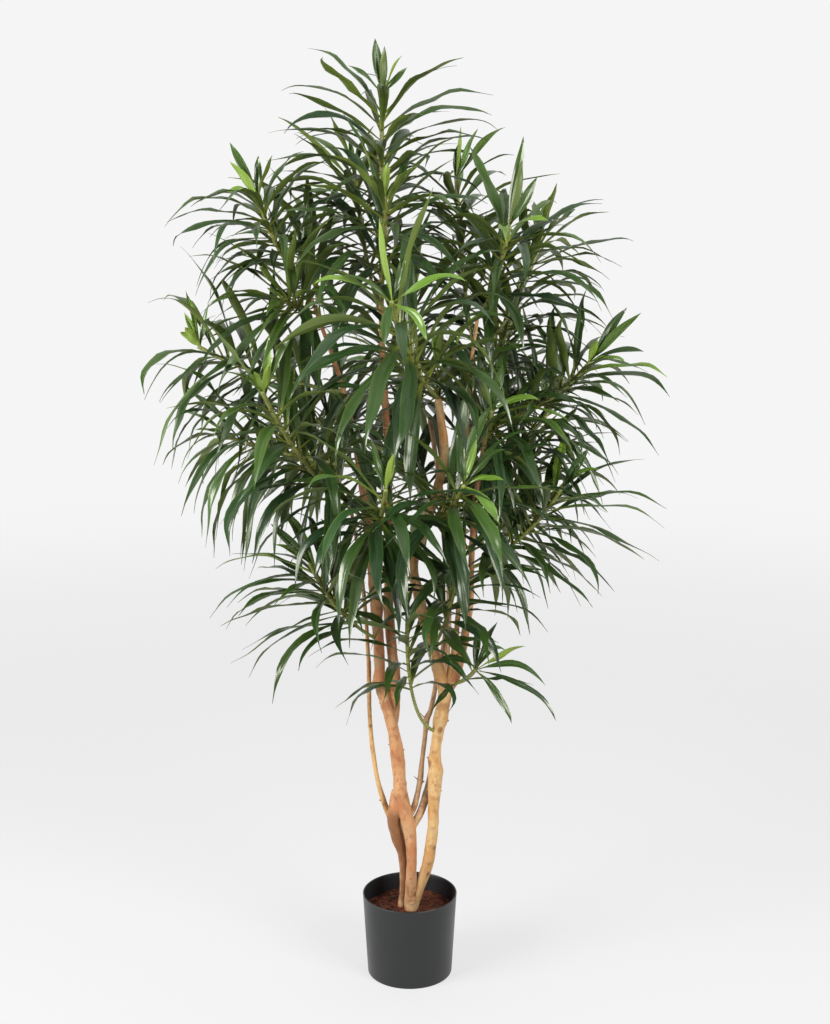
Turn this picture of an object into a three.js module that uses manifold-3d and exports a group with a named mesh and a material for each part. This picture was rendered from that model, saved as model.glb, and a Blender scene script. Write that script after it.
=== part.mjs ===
// An artificial dracaena tree: real-wood stems set in a black nursery pot, with heads of arching strap leaves.
// Millimetres, +Z up. The origin is the centre of the pot's flat underside, and the front faces -Y.
import * as THREE from "three";
import { mergeVertices } from "three/addons/utils/BufferGeometryUtils.js";
import Module from "manifold-3d";

const wasm = await Module();
wasm.setup();

// Clearance kept between neighbouring solids.
const SEAT_GAP = 0.3;

// The nursery pot, a thin tapered tub with a rounded foot and a plain rim.
const POT = {
  rimRadius: 93.5,
  footRadius: 84,
  height: 167.5,
  wall: 2.6,
  floor: 4,
  footRound: 4,
  sides: 32,
};

// The pot's filling, level where the stems stand and a little lower at the wall.
const FILL = { level: 137, edgeDrop: 5, levelRadius: 52 };

const FILL_FOOT = POT.floor + SEAT_GAP;

// Where the stems are cut off flat, on the filling.
const GROUND = FILL.level + SEAT_GAP;

// Each limb runs through a few stations [x, y, z, radius] and tapers between them.
// A limb that springs from another starts inside it, and is cut back to that limb's skin.
const LIMBS = [
  {
    name: "stem_centre",
    wood: "bark_red",
    sides: 10,
    steps: 10,
    route: [
      [2, -15, GROUND, 15],
      [2, -13, 185, 12],
      [-1, -10, 290, 12],
      [-14, -5, 356, 14.5],
      [-20, 0, 437, 12.5],
      [-30, 0, 491, 11],
      [-40, 0, 547, 13],
      [-46, 0, 590, 13.5],
    ],
  },
  {
    name: "stem_left",
    wood: "bark_red",
    sides: 8,
    steps: 6,
    route: [
      [-16, 9, GROUND, 10],
      [-19, 12, 220, 9],
      [-33, 15, 288, 12],
      [-33, 11, 330, 11.5],
      [-21, 2, 390, 8],
    ],
  },
  {
    name: "stem_right",
    wood: "bark_tan",
    sides: 10,
    steps: 10,
    route: [
      [13, -11, GROUND, 14],
      [22, -10, 190, 11.5],
      [36, -10, 240, 11],
      [43, -10, 310, 10.5],
      [51, -5, 429, 12.5],
      [53, -1, 485, 11.5],
      [60, 0, 545, 12.5],
      [71, 0, 592, 14],
    ],
  },
  {
    name: "bough_left",
    wood: "bark_red",
    sides: 8,
    steps: 13,
    route: [
      [-46, 0, 590, 13],
      [-56, 0, 640, 12],
      [-63, 0, 733, 12],
      [-66, 0, 803, 11],
      [-83, 0, 950, 8],
      [-118, -20, 1163, 6],
      [-188, -30, 1374, 4],
    ],
  },
  {
    name: "leader",
    wood: "bark_red",
    sides: 8,
    steps: 13,
    route: [
      [-41, 2, 568, 10],
      [-33, 22, 640, 9.5],
      [-40, 45, 740, 9],
      [-40, 58, 900, 8],
      [-42, 50, 1055, 7],
      [-50, 25, 1240, 5.5],
      [-53, 15, 1380, 4.5],
    ],
  },
  {
    name: "bough_right",
    wood: "bark_red",
    sides: 8,
    steps: 9,
    route: [
      [71, 0, 592, 12.5],
      [85, 0, 622, 10.5],
      [104, 0, 675, 9],
      [113, 0, 757, 7.5],
      [118, 0, 850, 6.5],
      [126, 0, 980, 5.5],
      [146, 0, 1103, 4.5],
    ],
  },
  {
    name: "bough_front",
    wood: "bark_tan",
    sides: 8,
    steps: 11,
    route: [
      [68, -2, 576, 10],
      [58, -5, 630, 11],
      [44, -13, 690, 10.5],
      [19, -20, 785, 10],
      [10, -20, 840, 10],
      [30, -20, 925, 9],
      [64, -28, 1050, 8.5],
      [53, -30, 1165, 7],
    ],
  },
  {
    name: "bough_middle",
    wood: "bark_tan",
    sides: 6,
    steps: 10,
    route: [
      [73, 3, 590, 6],
      [80, 11, 632, 5.6],
      [92, 20, 701, 5.4],
      [102, 24, 850, 4.8],
      [107, 22, 1040, 4.2],
      [113, 18, 1200, 3.6],
      [126, 10, 1308, 3.2],
    ],
  },
  {
    name: "shoot_left",
    wood: "bark_tan",
    sides: 6,
    steps: 9,
    route: [
      [-36, 15, 308, 6],
      [-53, 17, 358, 5.5],
      [-66, 18, 410, 4.4],
      [-78, 22, 520, 4.2],
      [-80, 26, 640, 4],
      [-92, 44, 800, 3.6],
      [-118, 78, 960, 3.2],
    ],
  },
  {
    name: "shoot_right",
    wood: "bark_tan",
    sides: 6,
    steps: 9,
    route: [
      [-4, -3, 322, 6.5],
      [12, 6, 356, 6.8],
      [22, 16, 405, 6.4],
      [33, 29, 519, 5.6],
      [56, 36, 600, 5],
      [72, 38, 710, 4.4],
      [92, 58, 850, 3.5],
    ],
  },
  {
    name: "bough_back",
    wood: "bark_tan",
    sides: 6,
    steps: 11,
    route: [
      [2, -6, 300, 8],
      [24, 5, 342, 7.6],
      [40, 32, 390, 7.2],
      [56, 76, 480, 6.6],
      [74, 122, 620, 6],
      [78, 165, 800, 5.4],
      [60, 200, 960, 5],
      [40, 222, 1085, 4.5],
    ],
  },
];

// Fine steps used when a limb's length is measured, and the spacing of the posts that mark where it runs.
const LIMB = { divisions: 210, postSpacing: 12 };

// The leaf heads: the limb that carries each and how far along it, then the bearing of its twig in degrees
// from +X towards +Y, how far the twig reaches out, how far it climbs, and how many leaves it may bear.
const HEADS = [
  ["head_top", "leader", 1, -65, 15, 305, 24],
  ["head_upper_front", "leader", 0.95, -86, 160, 195, 18],
  ["head_upper_back", "leader", 0.92, 120, 105, 270, 18],
  ["head_upper_middle_back", "bough_middle", 0.93, 120, 65, 315, 18],
  ["head_upper_left", "bough_left", 1, -150, 95, 155, 20],
  ["head_upper_left_back", "bough_left", 0.9, 100, 150, 205, 16],
  ["head_upper_right", "bough_middle", 1, -65, 120, 170, 20],
  ["head_upper_right_back", "bough_middle", 0.88, 36, 190, 245, 20],
  ["head_right_upper_back", "bough_middle", 0.8, 52, 165, 165, 14],
  ["head_left_inner", "bough_left", 0.93, -127, 90, 30, 12],
  ["head_left", "bough_left", 0.74, 172, 275, 85, 20],
  ["head_left_front", "bough_left", 0.45, -134, 250, 255, 22],
  ["head_left_back", "bough_left", 0.68, 124, 215, 80, 16],
  ["head_front", "bough_front", 1, -107, 280, 200, 20],
  ["head_centre", "bough_front", 0.96, 95, 40, 70, 14],
  ["head_right_inner", "bough_right", 0.9, -82, 95, 100, 14],
  ["head_right", "bough_right", 1, -3, 200, 125, 20],
  ["head_right_back", "bough_right", 0.84, 48, 225, 95, 18],
  ["head_low_front", "bough_left", 0.38, -82, 250, 150, 20],
  ["head_low_right_front", "bough_front", 0.6, -75, 210, 130, 20],
  ["head_low_right", "bough_right", 0.5, -17, 165, 145, 20],
  ["head_low_right_back", "bough_right", 0.68, 58, 165, 70, 14],
  ["head_low_left", "bough_left", 0.14, -152, 150, 180, 20],
  ["head_low_middle", "bough_front", 0.2, -59, 100, 210, 16],
  ["head_low_left_back", "shoot_left", 1, 118, 200, 100, 18],
  ["head_back_left", "leader", 0.62, 128, 290, 40, 18],
  ["head_back_upper", "leader", 0.78, 75, 230, 150, 18],
  ["head_back", "bough_back", 1, 105, 180, 80, 18],
  ["head_back_right", "bough_back", 0.9, 42, 195, 170, 18],
  ["head_back_low", "bough_back", 0.8, 118, 200, 30, 16],
  ["head_back_low_right", "shoot_right", 1, 35, 170, 70, 18],
  ["head_sprout_left", "stem_right", 0.79, -140, 92, 300, 14],
  ["head_sprout_right", "bough_right", 0.03, -44, 55, 62, 8],
];

// A twig leaves its limb nearly level and turns upwards, and is bare along its first stretch.
const TWIG = {
  footRadius: 5,
  tipRadius: 3.2,
  sides: 3,
  steps: 5,
  bareShare: 0.3,
  lastLeafShare: 0.985,
  elbowReach: 0.62,
  elbowRise: 0.3,
  posts: 24,
};

// The strap leaves. Old ones at a twig's foot stand well out and bend over, and young ones at its tip are
// short and upright. Angles are in degrees, and a bend is in radians for a leaf that lies level.
const LEAF = {
  length: 245,
  oldShortfall: 0.12,
  youngShortfall: 0.52,
  ageing: 3.5,
  sizeSpread: 0.08,
  width: 32,
  youngWidth: 0.7,
  shortWidth: 0.75,
  thickness: 2.8,
  fold: 2.5,
  stations: [0, 0.39, 0.72, 1],
  widthShares: [0, 1, 0.62, 0],
  rootSink: 0.8,
  pathSteps: 18,
  goldenAngle: 137.5,
  spinSpread: 13,
  openOld: 66,
  openYoung: 8,
  bendOld: 1.95,
  bendYoung: 0.25,
  tipLimpness: 1.5,
};

// How a leaf finds room: the lengths and turns it tries, and the clearances it keeps.
const ROOM = {
  lengths: [1, 0.86, 0.72, 0.58],
  turns: [0, 22, -22, 44, -44],
  samples: 6,
  cellMargin: 1.2,
  limbMargin: 2.5,
  twigMargin: 8,
};

const SEED = { first: 14009, step: 7919 };

const COLOURS = {
  pot: { color: 0x2b2d2e, roughness: 0.5, metalness: 0 },
  fill: { color: 0x4a1f14, roughness: 0.95, metalness: 0 },
  bark_red: { color: 0xa9683f, roughness: 0.75, metalness: 0 },
  bark_tan: { color: 0xc49256, roughness: 0.75, metalness: 0 },
  leaf: { color: 0x24472a, roughness: 0.42, metalness: 0 },
};

const UP = new THREE.Vector3(0, 0, 1);
const SIDEWAYS = new THREE.Vector3(1, 0, 0);

// A twig steeper than this takes its leaves' starting side from +X instead of +Z.
const STEEP = 0.95;

const materials = Object.fromEntries(
  Object.entries(COLOURS).map(([name, look]) => [name, new THREE.MeshStandardMaterial(look)]),
);

// A small seeded generator of numbers between 0 and 1, so that each head grows the same way every time.
function seeded(seed) {
  const modulus = 2147483647;
  const multiplier = 48271;
  let state = seed;
  return () => {
    state = (state * multiplier) % modulus;
    return state / modulus;
  };
}

const mix = (a, b, share) => a + (b - a) * share;
const radians = (degrees) => (degrees * Math.PI) / 180;

function solidFrom(geometry) {
  const bare = new THREE.BufferGeometry();
  bare.setAttribute("position", geometry.getAttribute("position"));
  bare.setIndex(geometry.getIndex());
  const merged = mergeVertices(bare, 1e-4);
  return new wasm.Manifold(
    new wasm.Mesh({
      numProp: 3,
      vertProperties: new Float32Array(merged.getAttribute("position").array),
      triVerts: new Uint32Array(merged.getIndex().array),
    }),
  );
}

// The largest body of a solid; loose scraps that a cut leaves behind are dropped and sealed hollows filled.
function mainBody(solid) {
  const bodies = solid.decompose().filter((body) => body.volume() > 0);
  return bodies.reduce((best, body) => (body.volume() > best.volume() ? body : best));
}

function geometryFrom(solid) {
  const { vertProperties, triVerts } = solid.getMesh();
  const geometry = new THREE.BufferGeometry();
  geometry.setAttribute("position", new THREE.BufferAttribute(vertProperties, 3));
  geometry.setIndex(new THREE.BufferAttribute(triVerts, 1));
  return geometry;
}

function geometryOf(points, triangles) {
  const geometry = new THREE.BufferGeometry();
  geometry.setAttribute("position", new THREE.Float32BufferAttribute(points.flatMap((p) => p.toArray()), 3));
  geometry.setIndex(triangles.flat());
  return geometry;
}

// Rings joined into a closed skin. Each ring runs anticlockwise seen from the far end,
// and an end ring of one point closes that end to a tip.
function skin(rings) {
  const points = rings.flat();
  const starts = rings.map((_, i) => rings.slice(0, i).reduce((sum, ring) => sum + ring.length, 0));
  const triangles = [];
  for (let i = 0; i + 1 < rings.length; i++) {
    const count = Math.max(rings[i].length, rings[i + 1].length);
    for (let k = 0; k < count; k++) {
      const next = (k + 1) % count;
      const [a, b] = [k, next].map((n) => starts[i] + (n % rings[i].length));
      const [c, d] = [k, next].map((n) => starts[i + 1] + (n % rings[i + 1].length));
      if (a !== b) triangles.push([a, b, d]);
      if (c !== d) triangles.push([a, d, c]);
    }
  }
  const cap = (start, count, turn) => {
    for (let k = 1; k + 1 < count; k++) {
      triangles.push(turn ? [start, start + k + 1, start + k] : [start, start + k, start + k + 1]);
    }
  };
  cap(starts[0], rings[0].length, true);
  cap(starts.at(-1), rings.at(-1).length, false);
  return geometryOf(points, triangles);
}

// Rings of the given radius square to a curve, from its start to its end.
function ringsAlong(curve, steps, sides, radiusAt, overrun = 0) {
  const frames = curve.computeFrenetFrames(steps);
  const rings = [];
  for (let i = 0; i <= steps; i++) {
    const centre = curve.getPointAt(i / steps);
    if (i === 0) centre.addScaledVector(frames.tangents[i], -overrun);
    if (i === steps) centre.addScaledVector(frames.tangents[i], overrun);
    const ring = [];
    for (let k = 0; k < sides; k++) {
      const turn = (2 * Math.PI * k) / sides;
      const radius = radiusAt(i / steps);
      ring.push(
        centre
          .clone()
          .addScaledVector(frames.normals[i], radius * Math.cos(turn))
          .addScaledVector(frames.binormals[i], radius * Math.sin(turn)),
      );
    }
    rings.push(ring);
  }
  return rings;
}

// A tapering round limb, grown on all sides by an allowance. One that stands on the ground is sawn off level.
function limbSolid(limb, allowance = 0) {
  const { curve, steps, sides } = limb;
  const rings = ringsAlong(curve, steps, sides, (share) => limb.radiusAt(share) + allowance, allowance);
  if (limb.standsOnGround) for (const point of rings[0]) point.z = GROUND - allowance;
  return solidFrom(skin(rings));
}

function limbFrom({ name, wood, sides, steps, route }) {
  const curve = new THREE.CatmullRomCurve3(route.map(([x, y, z]) => new THREE.Vector3(x, y, z)));
  curve.arcLengthDivisions = LIMB.divisions;
  const lengths = curve.getLengths(LIMB.divisions);
  const total = lengths.at(-1);
  const stations = route.map((_, i) => lengths[Math.round((i * LIMB.divisions) / (route.length - 1))] / total);
  const radiusAt = (share) => {
    const i = Math.min(Math.max(stations.findIndex((station) => station >= share) - 1, 0), route.length - 2);
    return mix(route[i][3], route[i + 1][3], (share - stations[i]) / (stations[i + 1] - stations[i]));
  };
  const posts = Math.round(total / LIMB.postSpacing);
  const spine = curve.getSpacedPoints(posts).map((point, i) => ({ point, radius: radiusAt(i / posts) }));
  return { name, wood, sides, steps, curve, radiusAt, standsOnGround: route[0][2] === GROUND, spine };
}

function buildLimbs() {
  const limbs = LIMBS.map(limbFrom);
  const cutters = [];
  for (const limb of limbs) {
    limb.solid = mainBody(cutters.reduce((solid, cutter) => solid.subtract(cutter), limbSolid(limb)));
    limb.cutter = limbSolid(limb, SEAT_GAP);
    cutters.push(limb.cutter);
  }
  return limbs;
}

function twigCurve(limb, at, bearing, reach, rise) {
  const foot = limb.curve.getPointAt(at);
  const out = new THREE.Vector3(Math.cos(radians(bearing)), Math.sin(radians(bearing)), 0);
  const along = (reachShare, riseShare) =>
    foot.clone().addScaledVector(out, reach * reachShare).addScaledVector(UP, rise * riseShare);
  return new THREE.QuadraticBezierCurve3(foot, along(TWIG.elbowReach, TWIG.elbowRise), along(1, 1));
}

const twigRadius = (share) => mix(TWIG.footRadius, TWIG.tipRadius, share);

// The midrib of one leaf: it leaves the twig at its own angle, and its weight bends it over the more
// the more level it lies and the nearer to its tip.
function leafPath(root, axis, spin, age, length) {
  const youth = Math.pow(age, LEAF.ageing);
  const open = radians(mix(LEAF.openOld, LEAF.openYoung, youth));
  const bend = mix(LEAF.bendOld, LEAF.bendYoung, youth);
  const seat = new THREE.Vector3().crossVectors(axis, Math.abs(axis.z) > STEEP ? SIDEWAYS : UP);
  const radial = seat.normalize().applyAxisAngle(axis, spin);
  const start = axis.clone().multiplyScalar(Math.cos(open)).addScaledVector(radial, Math.sin(open));
  const heading = Math.atan2(start.y, start.x);
  const side = new THREE.Vector3(-Math.sin(heading), Math.cos(heading), 0);
  const path = [];
  const point = root.clone();
  let pitch = Math.asin(Math.min(1, Math.max(-1, start.z)));
  for (let i = 0; i <= LEAF.pathSteps; i++) {
    const along = new THREE.Vector3(
      Math.cos(pitch) * Math.cos(heading),
      Math.cos(pitch) * Math.sin(heading),
      Math.sin(pitch),
    );
    path.push({ point: point.clone(), along, side, face: new THREE.Vector3().crossVectors(along, side) });
    point.addScaledVector(along, length / LEAF.pathSteps);
    const limpness = LEAF.tipLimpness * Math.pow((i + 0.5) / LEAF.pathSteps, LEAF.tipLimpness - 1);
    pitch -= (bend * limpness * Math.cos(pitch)) / LEAF.pathSteps;
  }
  return path;
}

// The blade's rings: a root point sunk in the twig, two three-cornered rings and the tip.
// Each ring has its two edges raised over a keel, as a leaf folded along its midrib.
function leafRings(path, width, sink) {
  return LEAF.stations.map((share, i) => {
    const { point, along, side, face } = path[Math.round(share * LEAF.pathSteps)];
    if (i === 0) return [point.clone().addScaledVector(along, -sink)];
    if (share === 1) return [point];
    const half = (width * LEAF.widthShares[i]) / 2;
    return [
      point.clone().addScaledVector(side, half).addScaledVector(face, LEAF.fold),
      point.clone().addScaledVector(side, -half).addScaledVector(face, LEAF.fold),
      point.clone().addScaledVector(face, -LEAF.thickness),
    ];
  });
}

function distanceTo(line, spot) {
  let nearest = Infinity;
  for (const { point, radius } of line) nearest = Math.min(nearest, point.distanceTo(spot) - radius);
  return nearest;
}

// A leaf fits if it stays nearer its own twig than any other head's, and clear of the wood and the ground.
function leafFits(rings, own, others, limbs) {
  for (let i = 0; i + 1 < rings.length; i++) {
    const [from, to] = [rings[i], rings[i + 1]];
    for (let k = 0; k < 3; k++) {
      for (let step = 0; step <= ROOM.samples; step++) {
        const spot = from[k % from.length].clone().lerp(to[k % to.length], step / ROOM.samples);
        const near = distanceTo(own, spot);
        if (i === 0 && near < ROOM.twigMargin) continue;
        if (spot.z < GROUND) return false;
        const rival = Math.max(near + ROOM.cellMargin, ROOM.twigMargin);
        if (others.some((line) => distanceTo(line, spot) < rival)) return false;
        if (limbs.some((limb) => distanceTo(limb.spine, spot) < ROOM.limbMargin)) return false;
      }
    }
  }
  return true;
}

// One head: its twig, and the leaves that find room, oldest first, in a spiral up to the tip.
function growHead(head, index, heads, limbs) {
  const random = seeded(SEED.first + SEED.step * index);
  const others = heads.filter((other) => other !== head).map((other) => other.line);
  const twig = solidFrom(skin(ringsAlong(head.curve, TWIG.steps, TWIG.sides, twigRadius)));
  let solid = mainBody(limbs.reduce((rest, limb) => rest.subtract(limb.cutter), twig));
  let spin = random() * 360;
  for (let i = 0; i < head.leaves; i++) {
    const age = i / (head.leaves - 1);
    const at = mix(TWIG.bareShare, TWIG.lastLeafShare, age);
    spin += LEAF.goldenAngle + LEAF.spinSpread * (2 * random() - 1);
    const growth = 1 - LEAF.oldShortfall * Math.pow(1 - age, 3) - LEAF.youngShortfall * Math.pow(age, LEAF.ageing);
    const length = LEAF.length * growth * (1 + LEAF.sizeSpread * (2 * random() - 1));
    const root = head.curve.getPointAt(at);
    const axis = head.curve.getTangentAt(at);
    const leafAt = (share, turn) => {
      const path = leafPath(root, axis, radians(spin + turn), age, length * share);
      const width = LEAF.width * mix(LEAF.shortWidth, 1, share) * mix(1, LEAF.youngWidth, age);
      return leafRings(path, width, LEAF.rootSink * twigRadius(at));
    };
    const trials = ROOM.lengths.flatMap((share) => ROOM.turns.map((turn) => leafAt(share, turn)));
    const rings = trials.find((trial) => leafFits(trial, head.line, others, limbs));
    if (rings) solid = solid.add(solidFrom(skin(rings)));
  }
  return mainBody(solid);
}

function planHead([name, limbName, at, bearing, reach, rise, leaves], limbs) {
  const limb = limbs.find((each) => each.name === limbName);
  const curve = twigCurve(limb, at, bearing, reach, rise);
  const line = curve.getSpacedPoints(TWIG.posts).map((point) => ({ point, radius: 0 }));
  return { name, limb, curve, line, leaves };
}

const lathe = (profile) =>
  new THREE.LatheGeometry(profile.map(([r, z]) => new THREE.Vector2(r, z)), POT.sides).rotateX(Math.PI / 2);

// Half of the pot's section, from the axis along the underside, up the wall, over the rim and back inside.
function potGeometry() {
  const { rimRadius, footRadius, height, wall, floor, footRound } = POT;
  return lathe([
    [0, 0],
    [footRadius - footRound, 0],
    [footRadius, footRound],
    [rimRadius, height - wall / 2],
    [rimRadius - wall / 2, height],
    [rimRadius - wall, height - wall / 2],
    [footRadius - wall, floor],
    [0, floor],
  ]);
}

// The widest the filling may be at a height, clear of the facets of the pot's wall.
function fillRadius(z) {
  const { rimRadius, footRadius, wall, floor, height } = POT;
  const inside = mix(footRadius, rimRadius, (z - floor) / (height - wall / 2 - floor)) - wall;
  return inside - SEAT_GAP / Math.cos(Math.PI / POT.sides);
}

// The filling, drawn up from its own underside, which lies just clear of the pot's floor.
function fillGeometry() {
  const top = FILL.level - FILL_FOOT;
  return lathe([
    [0, 0],
    [fillRadius(FILL_FOOT), 0],
    [fillRadius(FILL.level - FILL.edgeDrop), top - FILL.edgeDrop],
    [FILL.levelRadius, top],
    [0, top],
  ]);
}

function sceneGroup(...children) {
  const group = new THREE.Group();
  if (children.length) group.add(...children);
  return group;
}

function named(name, geometry, material) {
  geometry.computeVertexNormals();
  const mesh = new THREE.Mesh(geometry, materials[material]);
  mesh.name = name;
  return mesh;
}

function buildPot() {
  const fill = named("pot_fill", fillGeometry(), "fill");
  fill.position.z = FILL_FOOT;
  return sceneGroup(named("pot", potGeometry(), "pot"), fill);
}

function buildTree() {
  const limbs = buildLimbs();
  const heads = HEADS.map((row) => planHead(row, limbs));
  const wood = limbs.map((limb) => named(limb.name, geometryFrom(limb.solid), limb.wood));
  const crown = heads.map((head, index) =>
    named(head.name, geometryFrom(growHead(head, index, heads, limbs)), "leaf"),
  );
  return sceneGroup(buildPot(), sceneGroup(...wood), sceneGroup(...crown));
}

const tree = buildTree();

export default tree;
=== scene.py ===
"""Looks for an artificial dracaena tree: bare stems in a charcoal nursery pot, with heads of arching leaves.

Sizes are in millimetres in the part's own frame: +Z up, the front towards -Y, the origin under the pot.
"""

import logging
import math
from dataclasses import dataclass, field
from enum import Enum
from itertools import combinations

import bpy
import numpy as np
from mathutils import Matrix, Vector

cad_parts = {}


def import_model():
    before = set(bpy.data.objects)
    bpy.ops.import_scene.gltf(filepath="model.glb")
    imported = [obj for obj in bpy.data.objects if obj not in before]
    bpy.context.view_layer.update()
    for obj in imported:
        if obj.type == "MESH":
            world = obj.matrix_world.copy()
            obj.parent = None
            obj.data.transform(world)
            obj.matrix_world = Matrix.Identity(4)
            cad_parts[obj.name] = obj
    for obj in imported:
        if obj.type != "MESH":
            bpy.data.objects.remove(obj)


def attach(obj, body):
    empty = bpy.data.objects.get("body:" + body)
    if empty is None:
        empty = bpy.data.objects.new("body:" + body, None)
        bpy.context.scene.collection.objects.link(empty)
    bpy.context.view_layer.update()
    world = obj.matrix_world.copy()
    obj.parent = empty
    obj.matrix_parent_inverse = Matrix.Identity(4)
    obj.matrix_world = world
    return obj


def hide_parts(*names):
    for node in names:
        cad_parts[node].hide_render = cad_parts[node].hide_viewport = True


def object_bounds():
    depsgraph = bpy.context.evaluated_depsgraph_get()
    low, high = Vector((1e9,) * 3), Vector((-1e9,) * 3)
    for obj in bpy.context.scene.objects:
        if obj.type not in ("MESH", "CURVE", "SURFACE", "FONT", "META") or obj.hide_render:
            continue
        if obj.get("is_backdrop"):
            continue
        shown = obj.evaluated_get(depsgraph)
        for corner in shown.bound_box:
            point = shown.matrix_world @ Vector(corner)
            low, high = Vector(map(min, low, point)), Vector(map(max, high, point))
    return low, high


log = logging.getLogger("dracaena")

MM = 0.001
TURN = 2 * math.pi
UP = np.array([0.0, 0.0, 1.0])

Values = np.ndarray | float
Colour = tuple[float, float, float]
Triple = tuple[float, float, float]
Route = tuple[tuple[float, float, float, float], ...]
Leaves = dict[str, np.ndarray]
Material = bpy.types.Material
Tree = bpy.types.NodeTree
Node = bpy.types.Node
Socket = bpy.types.NodeSocket


class Slot(Enum):
    """The record's material slots."""

    POT = "pot_plastic"
    FILLING = "ballast"
    RED_WOOD = "stem_wood_red"
    TAN_WOOD = "stem_wood_tan"
    FOLIAGE = "foliage"


# Working with arrays of points


def unit(vectors: np.ndarray) -> np.ndarray:
    """Scales each vector to length one."""
    return vectors / np.linalg.norm(vectors, axis=-1, keepdims=True)


def blend(low: Values, high: Values, share: Values) -> Values:
    """Goes evenly from low to high as the share goes from 0 to 1."""
    return low + (high - low) * share


def ease(edge: Values, end: Values, value: Values) -> Values:
    """Rises smoothly from 0 at the edge to 1 at the end: 3t^2 - 2t^3 of the share t between them."""
    t = np.clip((value - edge) / (end - edge), 0.0, 1.0)
    return t * t * (3 - 2 * t)


def angles(around: int) -> np.ndarray:
    """Gives evenly spaced angles round a whole turn."""
    return np.arange(around) * TURN / around


def spokes(first: np.ndarray, second: np.ndarray, t: np.ndarray) -> np.ndarray:
    """Gives the directions first cos t + second sin t about each station of a line."""
    return first[:, None] * np.cos(t)[None, :, None] + second[:, None] * np.sin(t)[None, :, None]


@dataclass
class Spline:
    """A smooth line held as fine points, read by the share of its length."""

    points: np.ndarray

    def __post_init__(self) -> None:
        """Measures the line's length up to each point."""
        steps = np.linalg.norm(np.diff(self.points, axis=0), axis=1)
        self.measured = np.concatenate([[0.0], np.cumsum(steps)])
        self.length = float(self.measured[-1])

    def at(self, share: Values) -> np.ndarray:
        """Gives the points at shares of the length, straight between the fine points."""
        where = np.asarray(share) * self.length
        return np.stack([np.interp(where, self.measured, self.points[:, axis]) for axis in range(3)], axis=-1)

    def heading(self, share: Values) -> np.ndarray:
        """Works out the line's direction from two points close by.

        Args:
            share: shares of the line's length.

        Returns:
            A unit direction for each share.
        """
        reach = 0.01
        ahead = self.at(np.minimum(np.asarray(share) + reach, 1.0))
        return unit(ahead - self.at(np.maximum(np.asarray(share) - reach, 0.0)))


def centripetal(stations: np.ndarray, count: int = 210) -> Spline:
    """Runs a centripetal Catmull-Rom line through the stations.

    Between two stations it is the cubic that leaves with the tangent ((b-a)/p - (c-a)/(p+q) + (c-b)/q) q, and
    arrives with the one made likewise from b, c and d. Here p, q and r are the square roots of the three gaps
    between the neighbours a, b, c and d.

    Args:
        stations: the points that the line passes, one a row.
        count: into how many equal parameter steps the whole line is divided.

    Returns:
        The line.
    """
    before = 2 * stations[0] - stations[1]
    after = 2 * stations[-1] - stations[-2]
    padded = np.vstack([before, stations, after])
    spot = np.linspace(0, len(stations) - 1, count + 1)
    index = np.minimum(spot.astype(int), len(stations) - 2)
    t = (spot - index)[:, None]
    a, b, c, d = (padded[index + k] for k in range(4))
    pairs = ((a, b), (b, c), (c, d))
    p, q, r = (np.sqrt(np.linalg.norm(second - first, axis=1))[:, None] for first, second in pairs)
    leave = ((b - a) / p - (c - a) / (p + q) + (c - b) / q) * q
    arrive = ((c - b) / q - (d - b) / (q + r) + (d - c) / r) * q
    cubic = b + leave * t + (3 * (c - b) - 2 * leave - arrive) * t**2 + (2 * (b - c) + leave + arrive) * t**3
    return Spline(cubic)


def bowed(foot: np.ndarray, elbow: np.ndarray, tip: np.ndarray, count: int = 200) -> Spline:
    """Draws the quadratic curve (1-t)^2 foot + 2t(1-t) elbow + t^2 tip."""
    t = np.linspace(0, 1, count + 1)[:, None]
    return Spline((1 - t) ** 2 * foot + 2 * t * (1 - t) * elbow + t**2 * tip)


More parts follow.
